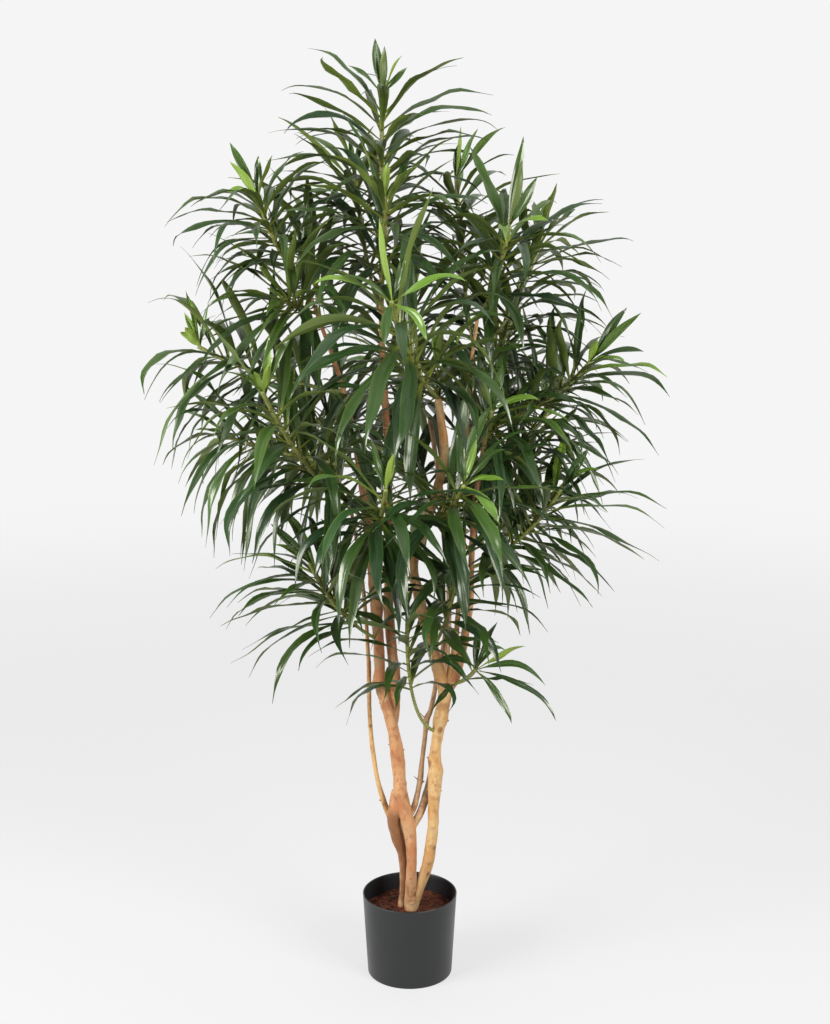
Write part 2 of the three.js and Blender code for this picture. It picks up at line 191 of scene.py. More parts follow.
@dataclass
class Skin:
    """Surfaces gathered into one mesh: points, four- and three-cornered faces, and what they carry."""

    name: str
    points: list[np.ndarray] = field(default_factory=list)
    quads: list[np.ndarray] = field(default_factory=list)
    quad_uv: list[np.ndarray] = field(default_factory=list)
    triangles: list[np.ndarray] = field(default_factory=list)
    triangle_uv: list[np.ndarray] = field(default_factory=list)
    carried: dict[str, list[np.ndarray]] = field(default_factory=dict)
    count: int = 0

    def add(
        self,
        points: np.ndarray,
        quads: np.ndarray | None = None,
        triangles: np.ndarray | None = None,
        quad_uv: np.ndarray | None = None,
        **carried: np.ndarray,
    ) -> None:
        """Adds one surface, or many of one kind.

        Args:
            points: an array of points, three numbers each.
            quads: rows of four point numbers, counted within this surface.
            triangles: rows of three point numbers, counted within this surface.
            quad_uv: four pairs for each quad.
            carried: values that each point carries, by name.
        """
        points = points.reshape(-1, 3)
        self.points.append(points)
        for faces, uv, kept, kept_uv, corners in (
            (quads, quad_uv, self.quads, self.quad_uv, 4),
            (triangles, None, self.triangles, self.triangle_uv, 3),
        ):
            if faces is None or not len(faces):
                continue
            kept.append(faces.reshape(-1, corners) + self.count)
            if uv is None:
                uv = np.zeros((faces.size // corners, corners, 2))
            kept_uv.append(uv.reshape(-1, corners, 2))
        for key, values in carried.items():
            self.carried.setdefault(key, []).append(values.reshape(len(points), -1))
        self.count += len(points)

    def finished(self, material: Material, sharp: np.ndarray | None = None) -> bpy.types.Object:
        """Makes the object.

        Args:
            material: what the whole mesh is made of.
            sharp: a number for each point; an edge between two points of one number above 0 stays sharp.

        Returns:
            The object, at the origin, smoothly shaded.
        """
        mesh = bpy.data.meshes.new(self.name)
        faces = [rows for rows in (self.quads, self.triangles) if rows]
        corners = np.concatenate([np.concatenate(rows).ravel() for rows in faces])
        sizes = np.concatenate([np.full(sum(map(len, rows)), rows[0].shape[1]) for rows in faces])
        mapped = [rows for rows in (self.quad_uv, self.triangle_uv) if rows]
        pairs = np.concatenate([np.concatenate(rows).reshape(-1, 2) for rows in mapped])
        mesh.vertices.add(self.count)
        mesh.vertices.foreach_set("co", (np.concatenate(self.points) * MM).astype(np.float32).ravel())
        mesh.loops.add(len(corners))
        mesh.loops.foreach_set("vertex_index", corners.astype(np.int32))
        mesh.polygons.add(len(sizes))
        mesh.polygons.foreach_set("loop_start", (np.cumsum(sizes) - sizes).astype(np.int32))
        mesh.polygons.foreach_set("use_smooth", np.ones(len(sizes), dtype=bool))
        mesh.update(calc_edges=True)
        mesh.uv_layers.new(name="UVMap").uv.foreach_set("vector", pairs.astype(np.float32).ravel())
        for key, values in self.carried.items():
            rows = np.concatenate(values).astype(np.float32)
            kind, spoken = ("FLOAT_VECTOR", "vector") if rows.shape[1] == 3 else ("FLOAT", "value")
            mesh.attributes.new(key, kind, "POINT").data.foreach_set(spoken, rows.ravel())
        if sharp is not None:
            ends = np.empty(2 * len(mesh.edges), dtype=np.int32)
            mesh.edges.foreach_get("vertices", ends)
            marks = sharp[ends.reshape(-1, 2)]
            crisp = (marks[:, 0] == marks[:, 1]) & (marks[:, 0] > 0)
            mesh.attributes.new("sharp_edge", "BOOLEAN", "EDGE").data.foreach_set("value", crisp)
        mesh.materials.append(material)
        made = bpy.data.objects.new(self.name, mesh)
        bpy.context.scene.collection.objects.link(made)
        return made


def tube_faces(rings: int, around: int) -> tuple[np.ndarray, np.ndarray]:
    """Joins neighbouring rings with quads and closes both ends with fans.

    Args:
        rings: how many rings of points, one after another.
        around: how many points each ring has.

    Returns:
        The quads, and the triangles of the two ends, whose centre points come after all the rings.
    """
    row = np.arange(rings - 1)[:, None] * around
    here = np.arange(around)[None, :]
    there = (here + 1) % around
    quads = np.stack([row + here, row + there, row + there + around, row + here + around], axis=-1)
    last = (rings - 1) * around
    foot, tip = rings * around, rings * around + 1
    near, beyond = np.arange(around), (np.arange(around) + 1) % around
    caps = np.concatenate(
        [
            np.stack([beyond, near, np.full(around, foot)], axis=-1),
            np.stack([last + near, last + beyond, np.full(around, tip)], axis=-1),
        ]
    )
    return quads.reshape(-1, 4), caps


# Finishes


def shader(name: str, **sockets: float | tuple[float, ...]) -> tuple[Material, Tree, Node]:
    """Starts a material with a Principled BSDF.

    Args:
        name: the material's name.
        sockets: plain values for the shader's own sockets, with _ for a space in their names.

    Returns:
        The material, its node tree and the shader node.
    """
    material = bpy.data.materials.new(name)
    material.use_nodes = True
    tree = material.node_tree
    surface = tree.nodes["Principled BSDF"]
    for socket, value in sockets.items():
        surface.inputs[socket.replace("_", " ")].default_value = value
    return material, tree, surface


def add(tree: Tree, kind: str, plain: dict[int | str, object] | None = None, **settings: object) -> Node:
    """Adds a node.

    Args:
        tree: the node tree.
        kind: the node's type.
        plain: plain values for its sockets, by their number or name.
        settings: values for its own settings, by name.

    Returns:
        The node.
    """
    node = tree.nodes.new(kind)
    for key, value in settings.items():
        setattr(node, key, value)
    for socket, value in (plain or {}).items():
        node.inputs[socket].default_value = value
    return node


def mixed(tree: Tree, share: Socket | float, low: Socket | Colour, high: Socket | Colour) -> Socket:
    """Mixes two colours.

    Args:
        tree: the node tree.
        share: a socket or a plain number, 0 for all of the first colour.
        low: a socket or a plain colour.
        high: a socket or a plain colour.

    Returns:
        The mixed colour's socket.
    """
    node = tree.nodes.new("ShaderNodeMix")
    node.data_type = "RGBA"
    for socket, value in ((0, share), (6, low), (7, high)):
        if isinstance(value, Socket):
            tree.links.new(value, node.inputs[socket])
        elif socket == 0:
            node.inputs[socket].default_value = value
        else:
            node.inputs[socket].default_value = (*value, 1)
    return node.outputs[2]


def spread(tree: Tree, value: Socket, low: float, high: float, to: tuple[float, float] = (0, 1)) -> Socket:
    """Maps a value from one range onto another, smoothly and no further.

    Args:
        tree: the node tree.
        value: the value's socket.
        low: the value that becomes the first number of to.
        high: the value that becomes the second.
        to: the two ends of the range that it is mapped onto.

    Returns:
        The mapped value's socket.
    """
    plain = {1: low, 2: high, 3: to[0], 4: to[1]}
    node = add(tree, "ShaderNodeMapRange", plain, interpolation_type="SMOOTHSTEP")
    tree.links.new(value, node.inputs[0])
    return node.outputs[0]


def combined(tree: Tree, how: str, first: Socket | float, second: Socket | float = 0.0) -> Socket:
    """Combines two numbers by a sum, product or the like, or works on the first alone.

    Args:
        tree: the node tree.
        how: the operation's name.
        first: a socket or a plain number.
        second: a socket or a plain number.

    Returns:
        The result's socket.
    """
    node = tree.nodes.new("ShaderNodeMath")
    node.operation = how
    for socket, value in ((0, first), (1, second)):
        if isinstance(value, Socket):
            tree.links.new(value, node.inputs[socket])
        else:
            node.inputs[socket].default_value = value
    return node.outputs[0]


def clouds(tree: Tree, place: Socket, scale: float, stretch: Triple = (1, 1, 1), detail: float = 3) -> Socket:
    """Adds cloudy noise.

    Args:
        tree: the node tree.
        place: the place's socket.
        scale: how fine the noise is.
        stretch: a factor for each axis of the place; a small one draws the noise out along its axis.
        detail: how many finer layers it has.

    Returns:
        The noise's socket.
    """
    mapping = add(tree, "ShaderNodeMapping", {"Scale": stretch})
    noise = add(tree, "ShaderNodeTexNoise", {"Scale": scale, "Detail": detail})
    tree.links.new(place, mapping.inputs["Vector"])
    tree.links.new(mapping.outputs[0], noise.inputs["Vector"])
    return noise.outputs["Fac"]


def raised(tree: Tree, height: Socket, surface: Node, depth: float) -> None:
    """Raises the surface's shading by a height.

    Args:
        tree: the node tree.
        height: the height's socket.
        surface: the shader node.
        depth: how many metres a height of 1 stands for.
    """
    bump = add(tree, "ShaderNodeBump", {"Strength": 1.0, "Distance": depth})
    tree.links.new(height, bump.inputs["Height"])
    tree.links.new(bump.outputs[0], surface.inputs["Normal"])


def object_place(tree: Tree) -> Socket:
    """Gives the place on the object, in metres."""
    return tree.nodes.new("ShaderNodeTexCoord").outputs["Object"]


def carried_value(tree: Tree, name: str, output: str = "Fac") -> Socket:
    """Reads a value that the mesh's points carry."""
    return add(tree, "ShaderNodeAttribute", attribute_name=name).outputs[output]


def speckle_group() -> Tree:
    """Builds the shared effect of fine specks of wear and dust, once.

    Returns:
        A group that takes a place, a scale and an amount, and puts out a mask of specks and a fine height.
    """
    name, contrast = "specks", 9.0
    if name in bpy.data.node_groups:
        return bpy.data.node_groups[name]
    group = bpy.data.node_groups.new(name, "ShaderNodeTree")
    group.interface.new_socket("Place", in_out="INPUT", socket_type="NodeSocketVector")
    for label, value in (("Scale", 300.0), ("Amount", 0.4)):
        group.interface.new_socket(label, in_out="INPUT", socket_type="NodeSocketFloat").default_value = value
    for label in ("Mask", "Height"):
        group.interface.new_socket(label, in_out="OUTPUT", socket_type="NodeSocketFloat")
    entry = group.nodes.new("NodeGroupInput")
    leaving = group.nodes.new("NodeGroupOutput")
    noise = add(group, "ShaderNodeTexNoise", {"Detail": 4.0, "Roughness": 0.7})
    group.links.new(entry.outputs["Place"], noise.inputs["Vector"])
    group.links.new(entry.outputs["Scale"], noise.inputs["Scale"])
    bare = combined(group, "SUBTRACT", 1.0, entry.outputs["Amount"])
    above = combined(group, "SUBTRACT", noise.outputs["Fac"], bare)
    mask = combined(group, "MULTIPLY", above, contrast)
    mask.node.use_clamp = True
    group.links.new(mask, leaving.inputs["Mask"])
    group.links.new(noise.outputs["Fac"], leaving.inputs["Height"])
    return group


def specks(tree: Tree, place: Socket, scale: float, amount: float) -> Node:
    """Puts the shared specks into a material.

    Args:
        tree: the material's node tree.
        place: the place's socket.
        scale: how fine the specks are.
        amount: the larger it is, the more of the surface they cover.

    Returns:
        The group's node, which puts out a mask and a height.
    """
    node = add(tree, "ShaderNodeGroup", node_tree=speckle_group())
    tree.links.new(place, node.inputs["Place"])
    node.inputs["Scale"].default_value = scale
    node.inputs["Amount"].default_value = amount
    return node


@dataclass(frozen=True)
class PotPlastic:
    """Moulded charcoal plastic with a soft sheen, a little dusty."""

    colour: Colour = (0.0112, 0.0118, 0.0125)
    dust: Colour = (0.055, 0.053, 0.05)
    most_dust: float = 0.35
    roughness: tuple[float, float] = (0.33, 0.43)
    peel_depth: float = 0.00006

    def material(self) -> Material:
        """Makes the plastic: broad uneven gloss, a faint orange-peel skin and a film of dust.

        Returns:
            The material.
        """
        material, tree, surface = shader("pot_plastic", Specular_IOR_Level=0.46)
        place = object_place(tree)
        film = specks(tree, place, 900.0, 0.36)
        cloudy = clouds(tree, place, 14.0)
        settled = spread(tree, cloudy, 0.45, 0.75, (0, self.most_dust))
        dusty = combined(tree, "MULTIPLY", film.outputs["Mask"], settled)
        tree.links.new(mixed(tree, dusty, self.colour, self.dust), surface.inputs["Base Color"])
        tree.links.new(spread(tree, cloudy, 0.3, 0.7, self.roughness), surface.inputs["Roughness"])
        raised(tree, clouds(tree, place, 1400.0, detail=2), surface, self.peel_depth)
        return material


@dataclass(frozen=True)
class BareWood:
    """Debarked wood: its own tone, streaks along the grain, paler worn places, dark scars and stains, and
    painted shade where the limb carries it.
    """

    name: str
    main: Colour
    pale: Colour
    deep: Colour
    grey: Colour
    # The colour of scars and stains, also used for painted shade.
    scar: Colour = (0.165, 0.062, 0.018)
    roughness: tuple[float, float] = (0.36, 0.6)
    grain_depth: float = 0.0006
    dry_above: float = 0.27
    damp_below: float = 0.15

    def material(self) -> Material:
        """Makes the wood, greyer where it is damp near the filling.

        The grain follows the limb, because each point carries its place on the straightened limb.

        Returns:
            The material.
        """
        material, tree, surface = shader(self.name, Specular_IOR_Level=0.45)
        straight = carried_value(tree, "straight", "Vector")
        patches = clouds(tree, straight, 26.0, (1, 1, 0.5))
        worn = clouds(tree, straight, 44.0, (1, 1, 0.7))
        streaks = clouds(tree, straight, 420.0, (1, 1, 0.07), 4)
        mottle = clouds(tree, straight, 150.0, (1, 1, 0.6), 4)
        tone = mixed(tree, spread(tree, patches, 0.42, 0.58), self.main, self.pale)
        tone = mixed(tree, spread(tree, worn, 0.57, 0.66, (0, 0.5)), tone, self.grey)
        tone = mixed(tree, spread(tree, worn, 0.45, 0.36, (0, 0.55)), tone, self.deep)
        for grain, strength in ((streaks, 0.3), (mottle, 0.5)):
            tone = mixed(tree, spread(tree, grain, 0.52, 0.7, (0, strength)), tone, self.deep)
        parts = tree.nodes.new("ShaderNodeSeparateXYZ")
        tree.links.new(object_place(tree), parts.inputs[0])
        low_down = spread(tree, parts.outputs[2], self.dry_above, self.damp_below, (0, 0.8))
        damp = combined(tree, "MULTIPLY", low_down, spread(tree, mottle, 0.3, 0.6))
        tone = mixed(tree, damp, tone, self.grey)
        flecks = specks(tree, straight, 330.0, 0.33)
        tone = mixed(tree, combined(tree, "MULTIPLY", flecks.outputs["Mask"], 0.75), tone, self.scar)
        # The carried scar darkens scars and stains, and paints shade down stem_left and in the hollows.
        tone = mixed(tree, carried_value(tree, "scar"), tone, self.scar)
        tree.links.new(tone, surface.inputs["Base Color"])
        tree.links.new(spread(tree, mottle, 0.3, 0.7, self.roughness), surface.inputs["Roughness"])
        furrows = combined(tree, "MULTIPLY", streaks, 0.6)
        raised(tree, combined(tree, "ADD", furrows, mottle), surface, self.grain_depth)
        return material


@dataclass(frozen=True)
class TwigPlastic:
    """Olive plastic of the twigs, browner on the rings where old leaves were."""

    green: Colour = (0.2, 0.25, 0.05)
    brown: Colour = (0.13, 0.1, 0.03)
    skin_depth: float = 0.0004

    def material(self) -> Material:
        """Makes the plastic: mottled olive, browner where the points carry a scar.

        Returns:
            The material.
        """
        material, tree, surface = shader("twig_plastic", Roughness=0.5)
        place = object_place(tree)
        mottle = spread(tree, clouds(tree, place, 60.0), 0.35, 0.7, (0, 0.5))
        tone = mixed(tree, mottle, self.green, self.brown)
        tone = mixed(tree, combined(tree, "MULTIPLY", carried_value(tree, "scar"), 0.8), tone, self.brown)
        tree.links.new(tone, surface.inputs["Base Color"])
        raised(tree, clouds(tree, place, 500.0), surface, self.skin_depth)
        return material


@dataclass(frozen=True)
class LeafCloth:
    """Waxy printed cloth of the leaves in one tone, with an olive underside."""

    name: str
    top: Colour
    under: Colour
    margin: Colour
    base: Colour
    gloss: float = 0.31
    duller_below: float = 0.16
    bulge: float = 0.0006
    wax: Colour = (1.0, 1.0, 0.88)
    cooler: Colour = (0.58, 0.77, 1.8)

    def material(self) -> Material:
        """Makes the cloth.

        The piece's UV map runs from 0 to 1 across the upper side and from 1 to 2 across the underside, and
        from the root to the tip. A margin, a midrib, fine veins along the blade and a paler root are drawn
        from it. Each half of the blade bulges as sin^2(2 pi h) in the share h of the width from the midrib,
        which draws its sheen into streaks, and less so where the blade is narrow.

        Returns:
            The material.
        """
        material, tree, surface = shader(self.name, Specular_IOR_Level=0.68, Specular_Tint=(*self.wax, 1))
        uv = add(tree, "ShaderNodeUVMap", uv_map="UVMap").outputs[0]
        parts = tree.nodes.new("ShaderNodeSeparateXYZ")
        tree.links.new(uv, parts.inputs[0])
        across, along = parts.outputs[0], parts.outputs[1]
        under = combined(tree, "GREATER_THAN", across, 1.0)
        half = combined(tree, "ABSOLUTE", combined(tree, "SUBTRACT", combined(tree, "FRACT", across), 0.5))
        shade = spread(tree, carried_value(tree, "shade"), 0.0, 1.0, (0, 0.36))
        veins = spread(tree, clouds(tree, uv, 9.0, (1, 0.05, 1), 1), 0.45, 0.7, (0, 0.15))
        edge = spread(tree, half, 0.4, 0.5, (0, 0.5))
        rib = spread(tree, half, 0.0, 0.05, (0.3, 0))
        cool = tuple(value * share for value, share in zip(self.top, self.cooler))
        upper = mixed(tree, carried_value(tree, "cool"), self.top, cool)
        for lighter in (shade, veins, edge, rib):
            upper = mixed(tree, lighter, upper, self.margin)
        tone = mixed(tree, under, upper, self.under)
        tone = mixed(tree, spread(tree, along, 0.02, 0.2, (0.85, 0)), tone, self.base)
        tree.links.new(tone, surface.inputs["Base Color"])
        wavy = combined(tree, "SINE", combined(tree, "MULTIPLY", half, TURN))
        bulge = combined(tree, "MULTIPLY", wavy, wavy)
        widening = spread(tree, along, 0.0, 0.35, (0.3, 1))
        broad = combined(tree, "MULTIPLY", widening, spread(tree, along, 0.55, 0.92, (1, 0)))
        raised(tree, combined(tree, "MULTIPLY", bulge, broad), surface, self.bulge)
        cloudy = clouds(tree, object_place(tree), 18.0)
        rough = spread(tree, cloudy, 0.3, 0.7, (self.gloss - 0.05, self.gloss + 0.07))
        duller = combined(tree, "MULTIPLY", under, self.duller_below)
        tree.links.new(combined(tree, "ADD", rough, duller), surface.inputs["Roughness"])
        return material


@dataclass(frozen=True)
class Crumb:
    """Rough crumbs of dyed peat and bark."""

    name: str
    main: Colour
    deep: Colour
    grit_depth: float = 0.0015

    def material(self) -> Material:
        """Makes the crumbs: uneven tone, matt, and rough all over.

        Returns:
            The material.
        """
        material, tree, surface = shader(self.name, Roughness=0.92, Specular_IOR_Level=0.25)
        place = object_place(tree)
        tone = mixed(tree, spread(tree, clouds(tree, place, 90.0), 0.35, 0.68), self.main, self.deep)
        grit = specks(tree, place, 700.0, 0.42)
        tone = mixed(tree, combined(tree, "MULTIPLY", grit.outputs["Mask"], 0.6), tone, self.deep)
        tree.links.new(tone, surface.inputs["Base Color"])
        raised(tree, grit.outputs["Height"], surface, self.grit_depth)
        return material


# Pot and filling


@dataclass(frozen=True)
class Pot:
    """The nursery pot, a thin tapered tub turned about its axis."""

    rim_radius: float = 93.5
    foot_radius: float = 84.0
    height: float = 167.5
    wall: float = 2.6
    floor: float = 4.0
    foot_round: float = 1.6
    inner_round: float = 1.5
    hub: float = 2.0
    around: int = 144

    def outside(self, z: Values) -> Values:
        """Gives the wall's outer radius at a height: even taper from the foot to the rim."""
        return blend(self.foot_radius, self.rim_radius, z / self.height)

    def profile(self) -> np.ndarray:
        """Draws half of the section, from under the pot round to the inside floor.

        Returns:
            Its points, as radius and height.
        """
        turn = np.linspace(-math.pi / 2, -0.05, 9)
        foot_centre = self.foot_radius - self.foot_round
        foot = foot_centre + self.foot_round * np.cos(turn), self.foot_round * (1 + np.sin(turn))
        half = self.wall / 2
        climb = np.linspace(self.foot_round * 1.2, self.height - half, 24)
        outer = self.outside(climb), climb
        turn = np.linspace(0.15, math.pi - 0.15, 9)
        lip = self.rim_radius - half + half * np.cos(turn), self.height - half * (1 - np.sin(turn))
        sink = np.linspace(self.height - half, self.floor + self.inner_round, 16)
        inner = self.outside(sink) - self.wall, sink
        under = np.linspace(self.hub, foot_centre * 0.97, 6), np.zeros(6)
        floor_edge = self.foot_radius - self.wall - self.inner_round
        inside = np.linspace(floor_edge, self.hub, 6), np.full(6, self.floor)
        return np.concatenate([np.stack(run, axis=-1) for run in (under, foot, outer, lip, inner, inside)])

    def build(self, finish: PotPlastic) -> None:
        """Turns the profile about the axis: each point (r, z) becomes (r cos t, r sin t, z).

        Args:
            finish: what the pot is made of.
        """
        section = self.profile()
        r, z = section[:, :1], section[:, 1:]
        t = angles(self.around)
        rings = np.stack([r * np.cos(t), r * np.sin(t), np.broadcast_to(z, (len(z), self.around))], axis=-1)
        ends = np.array([[0, 0, section[0, 1]], [0, 0, section[-1, 1]]])
        quads, caps = tube_faces(len(section), self.around)
        skin = Skin("nursery_pot")
        skin.add(np.concatenate([rings.reshape(-1, 3), ends]), quads, caps)
        seat(skin.finished(finish.material()), Slot.POT, "pot")


@dataclass(frozen=True)
class Filling:
    """The pot's filling: a low mound of crumbs over a cast weight."""

    pot: Pot
    level: float = 137.0
    edge_drop: float = 5.0
    level_radius: float = 52.0
    foot: float = 4.3
    tuck: float = 0.4
    foot_tuck: float = 0.6
    crumb_tuck: float = 3.5
    lump_waves: tuple[float, ...] = (38.0, 23.0, 14.0, 9.0, 6.0, 4.2, 3.1, 2.4)
    lumpiness: float = 0.016
    ripples: int = 3
    rings: int = 90
    around: int = 220
    seed: int = 77

    def surface(self, radius: np.ndarray, turn: np.ndarray) -> np.ndarray:
        """Works out the mound's height: level in the middle, lower at the wall, and lumpy by a sum of sines.

        Args:
            radius: distances from the axis.
            turn: the angles round it.

        Returns:
            The heights.
        """
        fall = self.edge_drop * ease(self.level_radius, self.pot.outside(self.level), radius)
        x, y = radius * np.cos(turn), radius * np.sin(turn)
        random = np.random.default_rng(self.seed)
        lumps = np.zeros_like(x)
        for wave in self.lump_waves:
            for _ in range(self.ripples):
                slant, phase = random.uniform(0, TURN, 2)
                run = x * math.cos(slant) + y * math.sin(slant)
                lumps += self.lumpiness * wave * np.sin(run * TURN / wave + phase)
        return self.level - self.tuck - fall + lumps

    def build(self, finish: Crumb) -> None:
        """Makes the mound's top as rings about the axis and closes it with a side and an underside.

        Args:
            finish: what the filling is made of.
        """
        widest = self.pot.outside(self.level - self.edge_drop) - self.pot.wall - self.tuck
        radius = np.linspace(widest, 1.0, self.rings)[:, None]
        t = angles(self.around)[None, :]
        top = np.stack([radius * np.cos(t), radius * np.sin(t), self.surface(radius, t)], axis=-1)
        narrow = self.pot.outside(self.foot) - self.pot.wall - self.foot_tuck
        low = np.stack([narrow * np.cos(t), narrow * np.sin(t), np.full_like(t, self.foot)], axis=-1)
        rings = np.concatenate([low, top])
        ends = np.array([[0, 0, self.foot], [0, 0, self.level - self.tuck]])
        quads, caps = tube_faces(len(rings), self.around)
        skin = Skin("pot_filling")
        skin.add(np.concatenate([rings.reshape(-1, 3), ends]), quads, caps)
        seat(skin.finished(finish.material()), Slot.FILLING, "pot_fill")

    def scatter(self, name: str, finish: Crumb, count: int, sizes: tuple[float, float], seed: int) -> None:
        """Strews crumbs over the mound.

        Args:
            name: the piece's name.
            finish: what the crumbs are made of.
            count: how many.
            sizes: the smallest and largest half length.
            seed: the seed of their places.
        """
        random = np.random.default_rng(seed)
        widest = self.pot.outside(self.level) - self.pot.wall - self.crumb_tuck
        radius = widest * np.sqrt(random.uniform(0.02, 1, count))
        turn = random.uniform(0, TURN, count)
        size = blend(*sizes, random.uniform(0, 1, count) ** 2.2)
        shape, triangles = pebble()
        broad, deep = random.uniform(0.45, 0.9, count), random.uniform(0.35, 0.7, count)
        stretch = np.stack([size, size * broad, size * deep], axis=-1)
        lumpy = shape[None] * stretch[:, None] * random.uniform(0.78, 1.18, (count, len(shape), 1))
        lumpy = np.einsum("nij,npj->npi", tumbled(random, count), lumpy)
        height = self.surface(radius, turn) + size * 0.25
        centre = np.stack([radius * np.cos(turn), radius * np.sin(turn), height], axis=-1)
        faces = triangles[None] + (np.arange(count) * len(shape))[:, None, None]
        skin = Skin(name)
        skin.add(lumpy + centre[:, None], triangles=faces)
        seat(skin.finished(finish.material()), Slot.FILLING, "pot_fill")


def pebble() -> tuple[np.ndarray, np.ndarray]:
    """Gives a round twenty-sided body: twelve points, on three crossed golden rectangles, and its faces.

    Three points make a face if all their gaps are edges, which are 1.05 long. The next larger gap is 1.7.

    Returns:
        The points, and the faces as rows of three point numbers.
    """
    golden, longest_edge = (1 + math.sqrt(5)) / 2, 1.2
    base = np.array([(-1, golden, 0), (1, golden, 0), (-1, -golden, 0), (1, -golden, 0)])
    points = np.concatenate([np.roll(base, shift, axis=1) for shift in (0, 1, 2)])
    points = unit(points.astype(float))
    near = np.linalg.norm(points[:, None] - points[None], axis=-1) < longest_edge
    trios = combinations(range(len(points)), 3)
    faces = np.array([trio for trio in trios if near[np.ix_(trio, trio)].all()])
    a, b, c = (points[faces[:, corner]] for corner in range(3))
    outward = np.einsum("fi,fi->f", np.cross(b - a, c - a), a)
    faces[outward < 0] = faces[outward < 0][:, ::-1]
    return points, faces


def tumbled(random: np.random.Generator, count: int) -> np.ndarray:
    """Makes random turning matrices, each from a random unit quaternion.

    Args:
        random: what draws the quaternions.
        count: how many.

    Returns:
        The matrices, one after another.
    """
    w, x, y, z = unit(random.normal(size=(count, 4))).T
    rows = [
        [1 - 2 * (y * y + z * z), 2 * (x * y - z * w), 2 * (x * z + y * w)],
        [2 * (x * y + z * w), 1 - 2 * (x * x + z * z), 2 * (y * z - x * w)],
        [2 * (x * z - y * w), 2 * (y * z + x * w), 1 - 2 * (x * x + y * y)],
    ]
    return np.moveaxis(np.array(rows), 2, 0)


def seat(piece: bpy.types.Object, slot: Slot, *nodes: str) -> None:
    """Fixes a finished piece to the part's one body.

    Args:
        piece: the piece.
        slot: its material slot; not used.
        nodes: the solids that it stands for.
    """
    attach(piece, "root")
    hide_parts(*nodes)
    log.info("%s: %d faces", piece.name, len(piece.data.polygons))


# Stems and boughs


@dataclass(frozen=True)
class Wood:
    """A kind of wood: the record's slot and the finish."""

    slot: Slot
    finish: BareWood


RED = Wood(
    Slot.RED_WOOD,
    BareWood(
        "red_wood",
        main=(0.355, 0.142, 0.052),
        pale=(0.44, 0.225, 0.096),
        deep=(0.22, 0.074, 0.025),
        grey=(0.385, 0.262, 0.145),
    ),
)
TAN = Wood(
    Slot.TAN_WOOD,
    BareWood(
        "tan_wood",
        main=(0.4, 0.203, 0.063),
        pale=(0.49, 0.312, 0.128),
        deep=(0.295, 0.123, 0.037),
        grey=(0.375, 0.267, 0.14),
    ),
)
BROWN = Wood(
    Slot.TAN_WOOD,
    BareWood(
        "brown_wood",
        main=(0.33, 0.185, 0.09),
        pale=(0.47, 0.29, 0.15),
        deep=(0.2, 0.09, 0.035),
        grey=(0.38, 0.3, 0.2),
    ),
)


class Mark(Enum):
    """The marks that wood carries."""

    EYE = "a raised collar round a sunken branch scar"
    SWELL = "a smooth swelling"
    # A hollow is sunk and darkened in its pit; the darkening is painted shade.
    HOLLOW = "a dark hollow"
    DASH = "a short dark cut across the grain"
    # Dark stains; a row of them down stem_left is painted shade, where stem_centre shades it.
    BURN = "a dark stain"
    STUB = "a short sawn side stub"
    THORN = "a thin dry spur"


@dataclass(frozen=True)
class Knot:
    """One mark: what it is, its height, the bearing it faces in degrees and its half width."""

    mark: Mark
    z: float
    bearing: float
    size: float

    def imprint(self, q: np.ndarray, size: float) -> tuple[np.ndarray, np.ndarray]:
        """Gives the mark's relief and scar.

        A collar is exp(-(q-1)^2/w), and a pit or a broad swelling is exp(-q^2/w).

        Args:
            q: the distance from the mark's middle over its size.
            size: the size that the limb has room for, in millimetres.

        Returns:
            How far the wood stands proud, in millimetres, and its scar from 0 to 1, which for a stain down
            stem_left is painted shade.
        """
        collar = np.exp(-((q - 1) ** 2) / 0.16)
        pit = np.exp(-(q**2) / 0.5)
        broad = np.exp(-(q**2) / 1.6)
        match self.mark:
            case Mark.EYE:
                ring = np.exp(-((q - 1.1) ** 2) / 0.07) * min(1, 3 / self.size)
                return size * (0.16 * collar - 0.16 * pit + 0.1 * broad), 0.45 * pit + 0.6 * ring
            case Mark.DASH:
                return -0.12 * size * pit, ease(1.2, 0.6, q)
            case Mark.SWELL:
                return 0.22 * size * broad, np.zeros_like(q)
            # The pit's darkening is painted shade in the recess.
            case Mark.HOLLOW:
                return -0.3 * size * pit, pit
            # A stain darkens the wood in place; down stem_left a row of them is painted shade.
            case Mark.BURN:
                return np.zeros_like(q), 0.85 * ease(1.6, 0.6, q)
            case _:
                return 0.35 * size * broad, 0.3 * pit


# The height at which the stems stand in the filling, and how far their feet reach below it
GROUND, ROOTED = 137.3, 3.0

# The wood's ripples, longest first: their length along the limb, and how many go round it
RIPPLES = ((150, 2), (95, 3), (64, 1), (48, 2), (34, 3), (27, 1), (19, 4), (14, 5), (10, 7), (7.5, 9))


